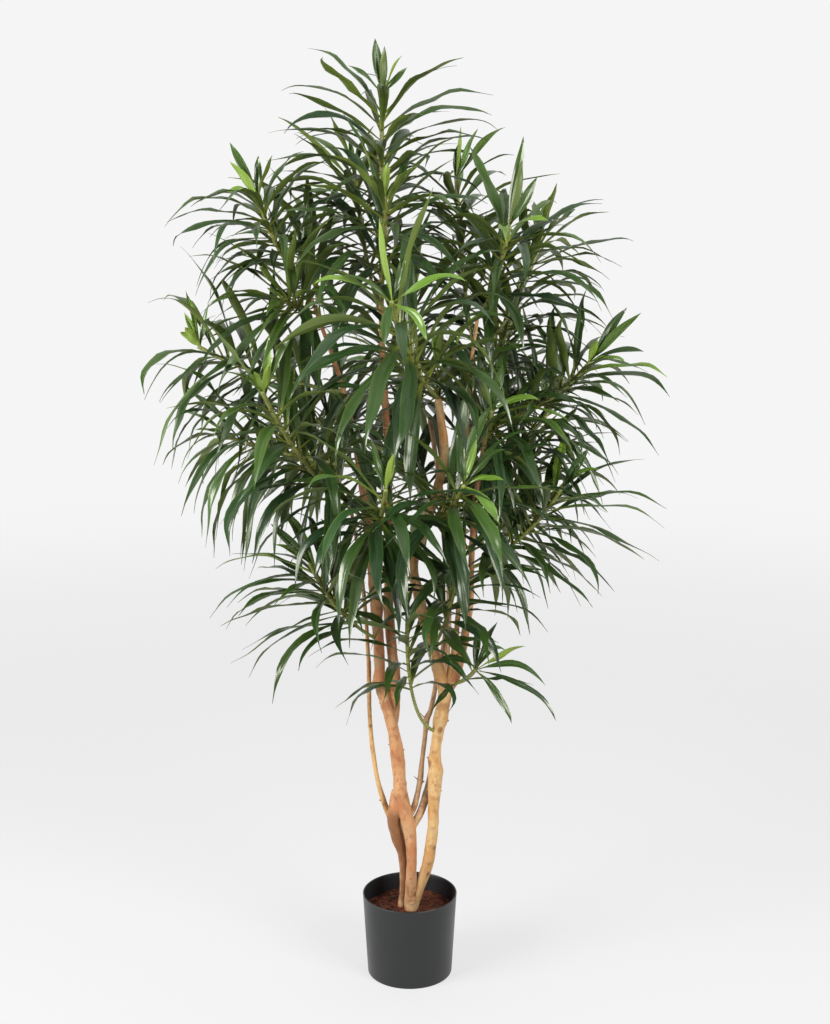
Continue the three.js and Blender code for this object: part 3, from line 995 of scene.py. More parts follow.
@dataclass(frozen=True)
class Limb:
    """A stem or bough: a tapering limb through its stations, with relief and knots."""

    name: str
    wood: Wood
    route: Route
    knots: tuple[Knot, ...] = ()
    around: int = 40
    ring_gap: float = 2.2
    ripple: float = 0.05
    mark_gap: float = 21.0
    smooth_end: float = 14.0
    end_scars: tuple[float, float] = (0.3, 0.5)
    spur_rings: int = 9
    spur_around: int = 10

    def spline(self) -> Spline:
        """Gives the limb's middle line."""
        return centripetal(np.array(self.route)[:, :3])

    def radius(self, line: Spline, share: Values) -> Values:
        """Works out the limb's radius, which changes evenly between the stations.

        Args:
            line: the limb's middle line.
            share: shares of its length.

        Returns:
            The radius at each share.
        """
        fine = len(line.points) - 1
        marks = np.round(np.arange(len(self.route)) * fine / (len(self.route) - 1)).astype(int)
        return np.interp(share, line.measured[marks] / line.length, [station[3] for station in self.route])

    def build(self, seed: int, grain_from: float) -> Skin:
        """Makes the limb's skin.

        Each point lies at c(s) + (r(s) + d(s, t)) (n cos t + b sin t), where c is the middle line, n and b
        are square to it, r is the radius and d is the relief. The points carry their place on the
        straightened limb, and a scar. An end that isn't sawn off closes as a dome, with r sqrt(1.01 - u^2)
        for the share u of the radius past its start.

        Args:
            seed: the seed of the relief.
            grain_from: the place on the straightened limb at which its grain starts.

        Returns:
            The skin, with its stubs and thorns.
        """
        line = self.spline()
        count = int(line.length / self.ring_gap)
        share = np.linspace(0, 1, count)
        t = angles(self.around)
        centre = line.at(share)
        ahead = line.heading(share)
        normal = unit(np.array([1.0, 0, 0]) - ahead * ahead[:, :1])
        round_it = spokes(normal, np.cross(ahead, normal), t)
        radius = self.radius(line, share)[:, None]
        along = (share * line.length)[:, None]
        relief, scar = self.relief(line, along, t[None, :], radius, seed)
        sawn = self.route[0][2] == GROUND
        past = np.clip(1 - (line.length - along) / radius[-1], 0, 1)
        before = np.zeros_like(past) if sawn else np.clip(1 - along / radius[0], 0, 1)
        full = (radius + relief) * np.sqrt(1.01 - np.maximum(past, before) ** 2)
        points = centre[:, None] + round_it * full[..., None]
        if sawn:
            points[0, :, 2] = GROUND - ROOTED
        grain = np.broadcast_to(along + grain_from, full.shape)
        straight = np.stack([np.cos(t) * radius, np.sin(t) * radius, grain], axis=-1) * MM
        quads, caps = tube_faces(count, self.around)
        ends = np.stack([points[0].mean(axis=0), points[-1].mean(axis=0) + ahead[-1]])
        skin = Skin("wood_" + self.name)
        skin.add(
            np.concatenate([points.reshape(-1, 3), ends]),
            quads,
            caps,
            straight=np.concatenate([straight.reshape(-1, 3), straight[0, :1], straight[-1, :1]]),
            scar=np.concatenate([scar.ravel(), self.end_scars]),
        )
        for knot in self.knots:
            if knot.mark in (Mark.STUB, Mark.THORN):
                self.spur(skin, line, knot, seed)
        return skin

    def relief(
        self, line: Spline, along: np.ndarray, t: np.ndarray, radius: np.ndarray, seed: int
    ) -> tuple[np.ndarray, np.ndarray]:
        """Works out how far the wood stands proud and how scarred it is.

        The relief is a sum of sines in s and t whose height grows with their wavelength, and the imprint of
        each knot and of small marks strewn over the limb. It fades out towards an end that is not sawn off.

        Args:
            line: the limb's middle line.
            along: the distance along it, one row for each ring.
            t: the angle round it.
            radius: the limb's radius at each ring.
            seed: the seed of the ripples and of the small marks.

        Returns:
            The relief in millimetres and the scar from 0 to 1, painted shade included, each for every ring
            and angle.
        """
        random = np.random.default_rng(seed)
        relief = np.zeros((along.shape[0], t.shape[1]))
        scar = np.zeros_like(relief)
        for wave, lobes in RIPPLES:
            phase, slope = random.uniform(0, TURN), random.choice([-1, 1])
            height = self.ripple * wave / RIPPLES[0][0]
            relief += height * radius * np.sin(along * TURN / wave + slope * lobes * t + phase)
        many = int(line.length / self.mark_gap)
        kinds = random.choice([Mark.EYE, Mark.SWELL, Mark.DASH], size=many, p=[0.25, 0.3, 0.45])
        bearings, sizes = random.uniform(0, 360, many), blend(1.1, 3.4, random.uniform(0, 1, many) ** 2)
        places = random.uniform(0, line.length, many)
        small = [
            (Knot(kind, 0, bearing, size * (2 if kind is Mark.SWELL else 1)), where)
            for kind, where, bearing, size in zip(kinds, places, bearings, sizes)
        ]
        placed = [(knot, self.height_share(line, knot.z) * line.length) for knot in self.knots]
        for knot, where in placed + small:
            turned = (t - math.radians(knot.bearing) + math.pi) % TURN - math.pi
            # Stains may spread wider than other marks, so that the row down stem_left paints broad shade.
            widest = 1.8 if knot.mark is Mark.BURN else 0.8
            size = min(knot.size, widest * float(radius.mean()))
            oval = {Mark.EYE: 1.7, Mark.DASH: 9.0}.get(knot.mark, 0.7)
            q = np.sqrt((along - where) ** 2 * oval + (turned * radius) ** 2) / size
            proud, scarred = knot.imprint(q, size)
            relief += proud
            scar = np.maximum(scar, scarred)
        joined = ease(0, self.smooth_end, line.length - along)
        if self.route[0][2] != GROUND:
            joined = joined * ease(0, self.smooth_end, along)
        return relief * joined, np.clip(scar * joined, 0, 1)

    def height_share(self, line: Spline, z: float) -> float:
        """Gives the share of the limb's length at which it passes a height."""
        return float(np.interp(z, line.points[:, 2], line.measured / line.length))

    def spur(self, skin: Skin, line: Spline, knot: Knot, seed: int) -> None:
        """Adds a stub or thorn: a small cone bowed upwards, c + l u out + k u^p up, thinner towards its end.

        The power p is 1.5 for a thorn and 1.2 for a stub.

        Args:
            skin: the limb's skin.
            line: the limb's middle line.
            knot: the mark.
            seed: the seed of its bend.
        """
        random = np.random.default_rng(seed + int(knot.z))
        share = self.height_share(line, knot.z)
        radius = float(self.radius(line, share))
        out = np.array([math.cos(math.radians(knot.bearing)), math.sin(math.radians(knot.bearing)), 0.0])
        thin = knot.mark is Mark.THORN
        length = (4.2 if thin else 1.9) * knot.size + radius * 0.6
        rise = length * (0.9 if thin else 0.5) * random.uniform(0.8, 1.2)
        u = np.linspace(0, 1, self.spur_rings)[:, None]
        foot = line.at(share) + out * (radius * 0.4)
        centre = foot + out * length * u + UP * rise * u ** (1.5 if thin else 1.2)
        width = knot.size * (blend(0.95, 0.16, u) if thin else blend(1.05, 0.72, u**0.6))
        ahead = unit(np.gradient(centre, axis=0))
        side = unit(np.cross(ahead, UP))
        round_it = spokes(side, np.cross(side, ahead), angles(self.spur_around))
        rings = centre[:, None] + width[:, None] * round_it
        quads, caps = tube_faces(self.spur_rings, self.spur_around)
        ends = np.stack([rings[0].mean(axis=0), rings[-1].mean(axis=0) + ahead[-1] * 0.3 * knot.size])
        points = np.concatenate([rings.reshape(-1, 3), ends])
        dark = np.concatenate([np.repeat(ease(0.2, 1.0, u[:, 0]) * 0.9, self.spur_around), [0, 0.7]])
        skin.add(points, quads[:, ::-1], caps[:, ::-1], straight=points * MM, scar=dark)


EYE, SWELL, HOLLOW, DASH, BURN, STUB, THORN = Mark

LIMBS = (
    Limb(
        "stem_centre",
        RED,
        (
            (2, -15, GROUND, 11.8), (2, -14, 180, 11.2), (4, -12, 247, 10.4), (1, -11, 290, 11.6),
            (-8, -8, 335, 14.5), (-18, -5, 372, 15), (-20, -2, 408, 12.4), (-22, 0, 435, 13),
            (-26, 0, 468, 12.6), (-31, 0, 500, 11.4), (-36, 0, 530, 12.5), (-42, 0, 553, 13),
            (-48, 0, 572, 12.4), (-53, 0, 588, 11.6), (-57, 0, 600, 11),
        ),
        (
            Knot(EYE, 157, -85, 6), Knot(BURN, 172, -40, 4), Knot(DASH, 205, -95, 4),
            # The hollow at 330 is the cleft towards stem_left, darkened with painted shade.
            Knot(EYE, 293, -75, 3.5), Knot(HOLLOW, 330, -168, 9), Knot(EYE, 372, -140, 5.5),
            Knot(SWELL, 395, -90, 6), Knot(SWELL, 360, -12, 6), Knot(EYE, 398, -15, 3.5),
            Knot(SWELL, 459, -4, 5), Knot(STUB, 462, 4, 1.2), Knot(STUB, 473, 178, 1.3),
            Knot(EYE, 515, -80, 3.2), Knot(SWELL, 556, -172, 6), Knot(STUB, 556, 176, 1.6),
        ),
    ),
    Limb(
        "stem_left",
        RED,
        (
            (-15, 0, GROUND, 9.5), (-12.5, 3, 165, 8.4), (-11.5, 5, 212, 8.6), (-15, 6, 249, 9.8),
            (-24, 4, 286, 13.4), (-31, -1, 316, 14.2), (-29, -5, 345, 14.4), (-22, -4, 390, 11),
        ),
        (
            Knot(EYE, 251, -100, 3), Knot(DASH, 200, -95, 4), Knot(STUB, 160, -90, 2),
            # This row of stains is painted shade: the shade that stem_centre casts down stem_left's right
            # side.
            Knot(BURN, 318, -95, 20), Knot(BURN, 292, -85, 19), Knot(BURN, 264, -75, 16),
            Knot(BURN, 238, -65, 14), Knot(BURN, 212, -62, 13), Knot(BURN, 186, -62, 13),
            Knot(BURN, 162, -70, 11),
        ),
    ),
    Limb(
        "stem_right",
        TAN,
        (
            (6, -9, GROUND, 10), (12, -10, 162, 11), (21, -10, 184, 10), (32.5, -10, 222, 11.5),
            (38.5, -10, 247, 10.8), (44.5, -10, 296, 10.7), (47, -9, 350, 11.2), (49, -7, 392, 12.8),
            (50, -5, 424, 14), (50, -3, 447, 12), (52, -2, 478, 10.6), (56, -1, 511, 12.4),
            (60.5, 0, 533, 13.8), (66, 0, 562, 12.4), (71, 0, 588, 13), (77, 0, 600, 12),
        ),
        (
            Knot(HOLLOW, 160, -120, 3), Knot(BURN, 215, -55, 4), Knot(EYE, 237, -82, 3.4),
            Knot(EYE, 272, -95, 4.4), Knot(BURN, 270, -50, 4), Knot(EYE, 312, -86, 3),
            Knot(SWELL, 321, -10, 4.5), Knot(STUB, 380, 2, 1.2), Knot(SWELL, 424, -5, 5),
            Knot(STUB, 446, 178, 2), Knot(BURN, 441, -160, 6), Knot(EYE, 466, -110, 3.6),
            Knot(BURN, 512, -75, 5), Knot(STUB, 522, -6, 2.4), Knot(SWELL, 530, -15, 5),
            Knot(EYE, 560, -80, 5),
        ),
    ),
    Limb(
        "bough_left",
        RED,
        (
            (-50, 0, 578, 11.4), (-53, 0, 588, 11.6), (-58.5, 0, 606, 11.4), (-58, 0, 632, 9.8),
            (-60, 0, 690, 10.6), (-63, 0, 740, 11.6), (-66, 0, 803, 12), (-72, 0, 861, 11.5),
            (-83, 0, 945, 7), (-118, -20, 1163, 4.4), (-188, -30, 1374, 3.2),
        ),
        (
            Knot(SWELL, 606, 178, 5), Knot(STUB, 603, 170, 1.6), Knot(EYE, 690, -100, 4),
            Knot(EYE, 820, -70, 4),
        ),
        36,
    ),
    Limb(
        "leader",
        RED,
        (
            (-31, 2, 515, 8), (-29, 3, 550, 10), (-29.5, 5, 585, 11.2), (-30, 11, 625, 11),
            (-36, 22, 680, 10.2), (-40.5, 38, 738, 9.8), (-40, 58, 900, 8), (-42, 50, 1055, 7),
            (-50, 25, 1240, 5.5), (-53, 15, 1380, 4.5),
        ),
        (Knot(EYE, 592, -100, 5.5), Knot(EYE, 700, -95, 3.5)),
        32,
    ),
    Limb(
        "bough_right",
        RED,
        (
            (66, 1, 570, 10), (72, 1, 590, 12.2), (86, 0, 612, 10.8), (95, 0, 642, 9.6),
            (104, 0, 680, 8), (110, 0, 726, 7.2), (117, 0, 762, 5.6), (118, 0, 850, 5.6),
            (126, 0, 980, 5.2), (146, 0, 1103, 4.5),
        ),
        (Knot(HOLLOW, 636, -120, 9), Knot(THORN, 616, -20, 1.2), Knot(SWELL, 692, 0, 4)),
        32,
    ),
    Limb(
        "bough_front",
        TAN,
        (
            (69, 0, 556, 8), (66, -1, 586, 11), (60, -4, 615, 11.8), (53.5, -8, 642, 11.4),
            (47, -10, 664, 11.4), (42, -13, 688, 11.4), (37, -16, 709, 12.2), (26, -18, 744, 10.4),
            (17, -20, 785, 10), (7, -20, 838, 10), (9, -20, 862, 10.4), (30, -20, 922, 9.6),
            (64, -28, 1050, 8.5), (53, -30, 1165, 7),
        ),
        (
            Knot(EYE, 706, -70, 4), Knot(SWELL, 707, -5, 5), Knot(EYE, 742, -110, 3.4),
            Knot(EYE, 1010, -80, 3.6),
        ),
        36,
    ),
    Limb(
        "bough_middle",
        TAN,
        (
            (72, 1, 586, 7), (80, -2, 632, 7.4), (89, 8, 690, 5.2), (95, 18, 756, 4.6),
            (102, 24, 850, 4.6), (107, 22, 1040, 4.2), (113, 18, 1200, 3.6), (126, 10, 1308, 3.2),
        ),
        (),
        24,
    ),
    Limb(
        "shoot_left",
        TAN,
        (
            (-36, 15, 308, 6), (-53, 17, 358, 5.5), (-66, 18, 410, 4.4), (-78, 22, 520, 4.2),
            (-80, 26, 640, 4), (-92, 44, 800, 3.6), (-118, 78, 960, 3.2),
        ),
        (
            Knot(THORN, 340, -20, 1.2), Knot(STUB, 352, 175, 1.8), Knot(SWELL, 505, -120, 3),
            Knot(BURN, 509, -90, 3),
        ),
        24,
    ),
    Limb(
        "shoot_right",
        BROWN,
        (
            (-4, -3, 322, 6.5), (10, 4, 350, 6), (16, 9, 376, 4.8), (21, 15, 402, 5.8),
            (25.5, 20, 446, 4.7), (31, 26, 493, 4.6), (34, 29, 520, 5.8), (41, 31, 536, 4.8),
            (52, 35, 595, 4.8), (66, 37, 668, 4.4), (74, 40, 722, 4.4), (92, 58, 850, 3.5),
        ),
        (
            Knot(THORN, 398, 172, 1.7), Knot(STUB, 393, -12, 2), Knot(THORN, 521, 172, 1.9),
            Knot(SWELL, 396, -90, 4),
        ),
        24,
    ),
    Limb(
        "bough_back",
        BROWN,
        (
            (2, -6, 300, 8), (24, 5, 342, 7.6), (40, 32, 390, 7.2), (56, 76, 480, 6.6),
            (74, 122, 620, 6), (78, 165, 800, 5.4), (60, 200, 960, 5), (40, 222, 1085, 4.5),
        ),
        (Knot(BURN, 366, -80, 6), Knot(EYE, 352, -90, 3.4), Knot(BURN, 378, -60, 5)),
        28,
    ),
)


LIMB_NAMED = {limb.name: limb for limb in LIMBS}


@dataclass(frozen=True)
class Woodwork:
    """All the stems and boughs."""

    seed: int = 4100

    def build(self) -> None:
        """Makes each limb as a piece of its own, whose grain runs on from the limb that it springs from."""
        made = {wood.finish.name: wood.finish.material() for wood in (RED, TAN, BROWN)}
        ends, grain = [], []
        for index, limb in enumerate(LIMBS):
            line = limb.spline()
            start = 0.0
            if limb.route[0][2] > GROUND:
                gaps = np.linalg.norm(np.concatenate(ends) - line.points[0], axis=1)
                start = float(np.concatenate(grain)[np.argmin(gaps)])
            ends.append(line.points)
            grain.append(start + line.measured)
            piece = limb.build(self.seed + index, start).finished(made[limb.wood.finish.name])
            seat(piece, limb.wood.slot, limb.name)


# Leaf heads


@dataclass(frozen=True)
class Head:
    """One leaf head: its limb, where along it, the bearing of its twig, and how far that reaches and climbs.

    It also has its number of leaves, how many of the youngest are light green, the size of its leaves, the
    place of its twig's elbow as shares of the reach and the rise, the bare share of its twig, how limp and
    how broad its leaves are against the others', and how far its green leans towards blue.
    """

    name: str
    limb: str
    at: float
    bearing: float
    reach: float
    rise: float
    leaves: int = 35
    lime: int = 1
    size: float = 1.0
    elbow: tuple[float, float] = (0.62, 0.3)
    bare: float = 0.24
    limp: float = 1.0
    breadth: float = 1.0
    cool: float = 0.12


HEADS = (
    Head("head_top", "leader", 1, -65, 10, 332, 46, 0, 0.95, limp=0.9, cool=0.4),
    Head("head_upper_front", "leader", 0.95, -86, 160, 195, size=0.95, breadth=1.05, cool=0.6),
    Head("head_upper_back", "leader", 0.92, 120, 105, 270, size=0.9),
    Head("head_upper_middle_back", "bough_middle", 0.93, 120, 65, 304, size=0.85, cool=0.2),
    Head("head_upper_left", "bough_left", 1, -150, 92, 155, 36, 0, 0.8, limp=1.3, cool=0.05),
    Head("head_upper_left_back", "bough_left", 0.9, 100, 150, 178, size=0.88),
    Head("head_upper_right", "bough_middle", 1, -65, 120, 170, size=0.95, breadth=1.05, cool=0.5),
    Head("head_upper_right_back", "bough_middle", 0.88, 36, 170, 235, size=0.88, cool=0.2),
    Head("head_right_upper_back", "bough_middle", 0.8, 52, 160, 165, size=0.95, cool=0.2),
    Head("head_left_inner", "bough_left", 0.93, -127, 85, 30, 32, size=0.9),
    Head("head_left", "bough_left", 0.74, 172, 275, 80, 32, 0, cool=0.05),
    Head(
        "head_left_front", "bough_left", 0.45, -134, 250, 255, 44, 0, 1.06,
        bare=0.14, limp=1.2, breadth=1.05, cool=0.3,
    ),
    Head("head_left_back", "bough_left", 0.56, 166, 256, 46, 38, 0, 1.05, limp=1.35, cool=0.05),
    Head("head_front", "bough_front", 1, -107, 280, 200, 36, 0, 1.08, limp=1.1, breadth=1.15, cool=0.9),
    Head("head_centre", "bough_front", 0.96, 95, 40, 70, 24, 1, 0.9),
    Head("head_right_inner", "bough_right", 0.9, -82, 95, 100, breadth=1.05, cool=0.7),
    Head("head_right", "bough_right", 1, -3, 188, 125, size=0.9, limp=0.75, cool=0.05),
    Head("head_right_back", "bough_right", 0.84, 48, 215, 95, size=0.92, limp=0.85),
    Head("head_low_front", "bough_left", 0.38, -82, 250, 150, breadth=1.1, cool=0.8),
    Head(
        "head_low_right_front", "bough_front", 0.6, -72, 214, 118,
        lime=0, limp=0.85, breadth=1.15, cool=0.9,
    ),
    Head("head_low_right", "bough_right", 0.5, -17, 172, 166, size=0.96, limp=0.62, cool=0.05),
    Head("head_low_right_back", "bough_right", 0.68, 52, 172, 72, size=0.94, limp=0.65),
    Head("head_low_left", "bough_left", 0.14, -152, 142, 168, 38, size=1.04, limp=0.65, cool=0.2),
    Head("head_low_middle", "bough_front", 0.2, -59, 100, 210, 34, 1, 0.85, limp=0.8, breadth=1.05, cool=0.6),
    Head("head_low_left_back", "shoot_left", 1, 118, 180, 125, 32, size=0.9, limp=0.8),
    Head("head_back_left", "leader", 0.62, 128, 290, 40, size=0.95),
    Head("head_back_upper", "leader", 0.78, 75, 230, 150),
    Head("head_back", "bough_back", 1, 105, 180, 80),
    Head("head_back_right", "bough_back", 0.9, 42, 195, 170, size=0.95),
    Head("head_back_low", "bough_back", 0.8, 118, 200, 30, limp=0.85),
    Head("head_back_low_right", "shoot_right", 1, 35, 170, 70, size=0.9, limp=0.85),
    Head(
        "head_sprout_left", "stem_right", 0.79, -140, 76, 270, 36, 1, 0.84,
        elbow=(1.15, 0.12), bare=0.42, limp=0.62, cool=0.3,
    ),
    Head("head_sprout_right", "bough_right", 0.06, -44, 65, 44, 3, 0, 0.6, limp=0.6),
)
HEAD_NAMES = tuple(head.name for head in HEADS)


@dataclass(frozen=True)
class Bud:
    """A young leaf seen at a twig's tip: its head, its tone's age, and its own tip's place from the twig's.

    It also has its width, and by how much its pitch falls from root to tip.
    """

    head: str
    age: float
    tip: Triple
    width: float
    bend: float = 0.3


DARK, FRESH, LIGHT, LIME = 0.6, 0.9, 1.2, math.inf
BUDS = (
    Bud("head_top", DARK, (-5, 3, 99), 19, 0.1),
    Bud("head_top", DARK, (4, -6, 84), 15, 0.1),
    Bud("head_top", LIGHT, (36, -5, 66), 12, 0.6),
    Bud("head_top", DARK, (44, 8, 48), 12),
    Bud("head_top", FRESH, (-58, -10, 50), 15, 0.8),
    Bud("head_upper_left", FRESH, (-54, 4, 94), 16),
    Bud("head_upper_left", LIME, (-47, -8, 64), 16),
    Bud("head_upper_left", LIGHT, (-54, -10, 12), 15, 1.0),
    Bud("head_upper_left", DARK, (0, 8, 74), 15),
    Bud("head_upper_left", FRESH, (26, -12, 74), 13, 0.6),
    Bud("head_left", LIME, (-24, 0, 106), 11, 0.1),
    Bud("head_left", LIGHT, (-28, 8, 64), 13),
    Bud("head_left", LIME, (-36, -10, 30), 16),
    Bud("head_left", LIGHT, (-26, -18, 40), 18),
    Bud("head_left", FRESH, (18, 4, 80), 12, 0.6),
    Bud("head_left_front", LIME, (1, 0, 104), 15, 0.1),
    Bud("head_left_front", LIME, (-16, -14, 42), 17),
    Bud("head_left_front", LIGHT, (12, -14, 56), 15),
    Bud("head_left_front", FRESH, (52, 0, 104), 16, 0.5),
    Bud("head_left_front", FRESH, (-64, -30, 44), 16, 1.0),
    Bud("head_front", LIME, (-24, -8, 138), 12, 0.25),
    Bud("head_front", DARK, (28, 4, 92), 12, 0.2),
    Bud("head_front", FRESH, (-78, -24, 46), 17, 0.8),
    Bud("head_front", LIGHT, (58, -44, -60), 15, 1.5),
    Bud("head_front", LIGHT, (128, -16, 40), 15, 1.0),
    Bud("head_front", LIGHT, (-132, -20, 30), 15, 1.2),
    Bud("head_front", FRESH, (-10, -58, -66), 18, 1.7),
    Bud("head_upper_middle_back", LIGHT, (40, 0, 92), 12),
    Bud("head_upper_middle_back", DARK, (2, 6, 64), 16, 0.1),
    Bud("head_upper_middle_back", LIME, (8, -6, 96), 8, 0.1),
    Bud("head_upper_middle_back", FRESH, (88, 0, 94), 16, 0.7),
    Bud("head_upper_right", DARK, (13, 6, 160), 17, 0.1),
    Bud("head_upper_right", DARK, (24, -6, 118), 15, 0.1),
    Bud("head_upper_right", DARK, (48, 2, 88), 18),
    Bud("head_upper_right", LIGHT, (66, -20, 14), 15, 1.0),
    Bud("head_right", FRESH, (92, 0, 96), 16, 0.1),
    Bud("head_right", DARK, (70, 10, 102), 18, 0.1),
    Bud("head_right", DARK, (98, -12, 24), 17, 1.0),
    Bud("head_right", LIME, (14, -14, 46), 15),
    Bud("head_right", LIGHT, (66, -24, 6), 15, 1.2),
    Bud("head_low_right_front", DARK, (-12, 0, 94), 18, 0.3),
    Bud("head_low_right_front", LIGHT, (22, 0, 86), 13, 0.3),
    Bud("head_low_right_front", LIGHT, (70, -14, 16), 17, 1.0),
    Bud("head_low_right_front", LIGHT, (56, -40, -62), 18, 1.6),
    Bud("head_low_right_front", DARK, (72, 0, 66), 20, 0.8),
    Bud("head_centre", LIGHT, (-10, 0, 84), 16),
    Bud("head_centre", FRESH, (9, -6, 76), 18),
    Bud("head_low_left", FRESH, (-70, 0, 80), 18, 0.3),
    Bud("head_low_left", LIGHT, (-66, -10, 40), 16, 0.8),
    Bud("head_low_front", LIGHT, (14, -6, 68), 16, 0.2),
    Bud("head_low_front", FRESH, (-27, 0, 92), 17, 0.4),
    Bud("head_low_right", LIGHT, (70, -10, 40), 15, 0.9),
    Bud("head_low_right", FRESH, (54, 6, 74), 18, 0.2),
    Bud("head_right_inner", LIGHT, (84, -20, 24), 17, 1.1),
    Bud("head_right_inner", FRESH, (20, 0, 86), 17, 0.4),
    Bud("head_right_inner", DARK, (-30, -10, 70), 16, 0.4),
    Bud("head_sprout_right", DARK, (42, 0, 96), 14, 0.1),
    Bud("head_sprout_right", LIGHT, (95, -10, 52), 13, 0.3),
    Bud("head_sprout_right", FRESH, (138, -20, -24), 15, 1.4),
    Bud("head_sprout_right", DARK, (150, -40, -92), 14, 1.2),
    Bud("head_sprout_right", DARK, (60, -40, -92), 15, 1.5),
    Bud("head_sprout_right", FRESH, (-78, 10, 92), 15, 0.8),
    Bud("head_sprout_right", LIGHT, (-62, -10, 74), 13, 0.9),
    Bud("head_sprout_right", DARK, (8, 60, 70), 15, 0.9),
    Bud("head_sprout_right", DARK, (60, 80, 20), 15, 1.3),
)


@dataclass(frozen=True)
class Twig:
    """A head's twig: nearly level at its limb, then turning upwards, and bare along its first stretch."""

    foot_radius: float = 3.3
    tip_radius: float = 2.6
    sheath: float = 1.2
    wrapping: float = 0.3
    last_leaf_share: float = 0.985
    scar_gap: float = 7.0
    scar_height: float = 0.5
    ring_gap: float = 2.4
    around: int = 10

    def spline(self, head: Head, limb: Spline) -> Spline:
        """Draws the twig's middle line.

        Args:
            head: the leaf head.
            limb: the middle line of its limb.

        Returns:
            The line, from its foot on the limb.
        """
        foot = limb.at(head.at)
        turn = math.radians(head.bearing)
        out = np.array([math.cos(turn), math.sin(turn), 0.0])
        elbow = foot + out * head.reach * head.elbow[0] + UP * head.rise * head.elbow[1]
        return bowed(foot, elbow, foot + out * head.reach + UP * head.rise)

    def radius(self, share: np.ndarray, bare: Values) -> np.ndarray:
        """Gives the radius: even taper, thicker where the leaves' sheaths wrap it."""
        wrapped = ease(bare, bare + self.wrapping, share)
        return blend(self.foot_radius, self.tip_radius, share) + self.sheath * wrapped

    def build(self, skin: Skin, head: Head, line: Spline) -> None:
        """Adds the twig's skin, ringed by the scars of shed leaves.

        At s along the twig and t turns round it, the radius is r(s) + h (1 - frac(s / gap + t))^2.

        Args:
            skin: the skin of all the twigs.
            head: the leaf head.
            line: the twig's middle line.
        """
        count = int(line.length / self.ring_gap)
        share = np.linspace(0, 1, count)
        turn = math.radians(head.bearing)
        side = np.array([-math.sin(turn), math.cos(turn), 0.0])
        ahead = line.heading(share)
        t = angles(self.around)
        spiral = (share[:, None] * line.length / self.scar_gap + t[None, :] / TURN) % 1.0
        ridge = (1 - spiral) ** 2
        radius = self.radius(share, head.bare)[:, None] + self.scar_height * ridge
        rings = line.at(share)[:, None] + radius[..., None] * spokes(side[None], -np.cross(ahead, side), t)
        quads, caps = tube_faces(count, self.around)
        ends = np.stack([rings[0].mean(axis=0), rings[-1].mean(axis=0) + ahead[-1] * self.tip_radius])
        skin.add(
            np.concatenate([rings.reshape(-1, 3), ends]),
            quads,
            caps,
            scar=np.concatenate([ridge.ravel(), [0, 0]]),
        )


@dataclass(frozen=True)
class Tone:
    """A tone of leaf: its finish, and the youngest age at which a leaf still wears it."""

    finish: LeafCloth
    youngest: float


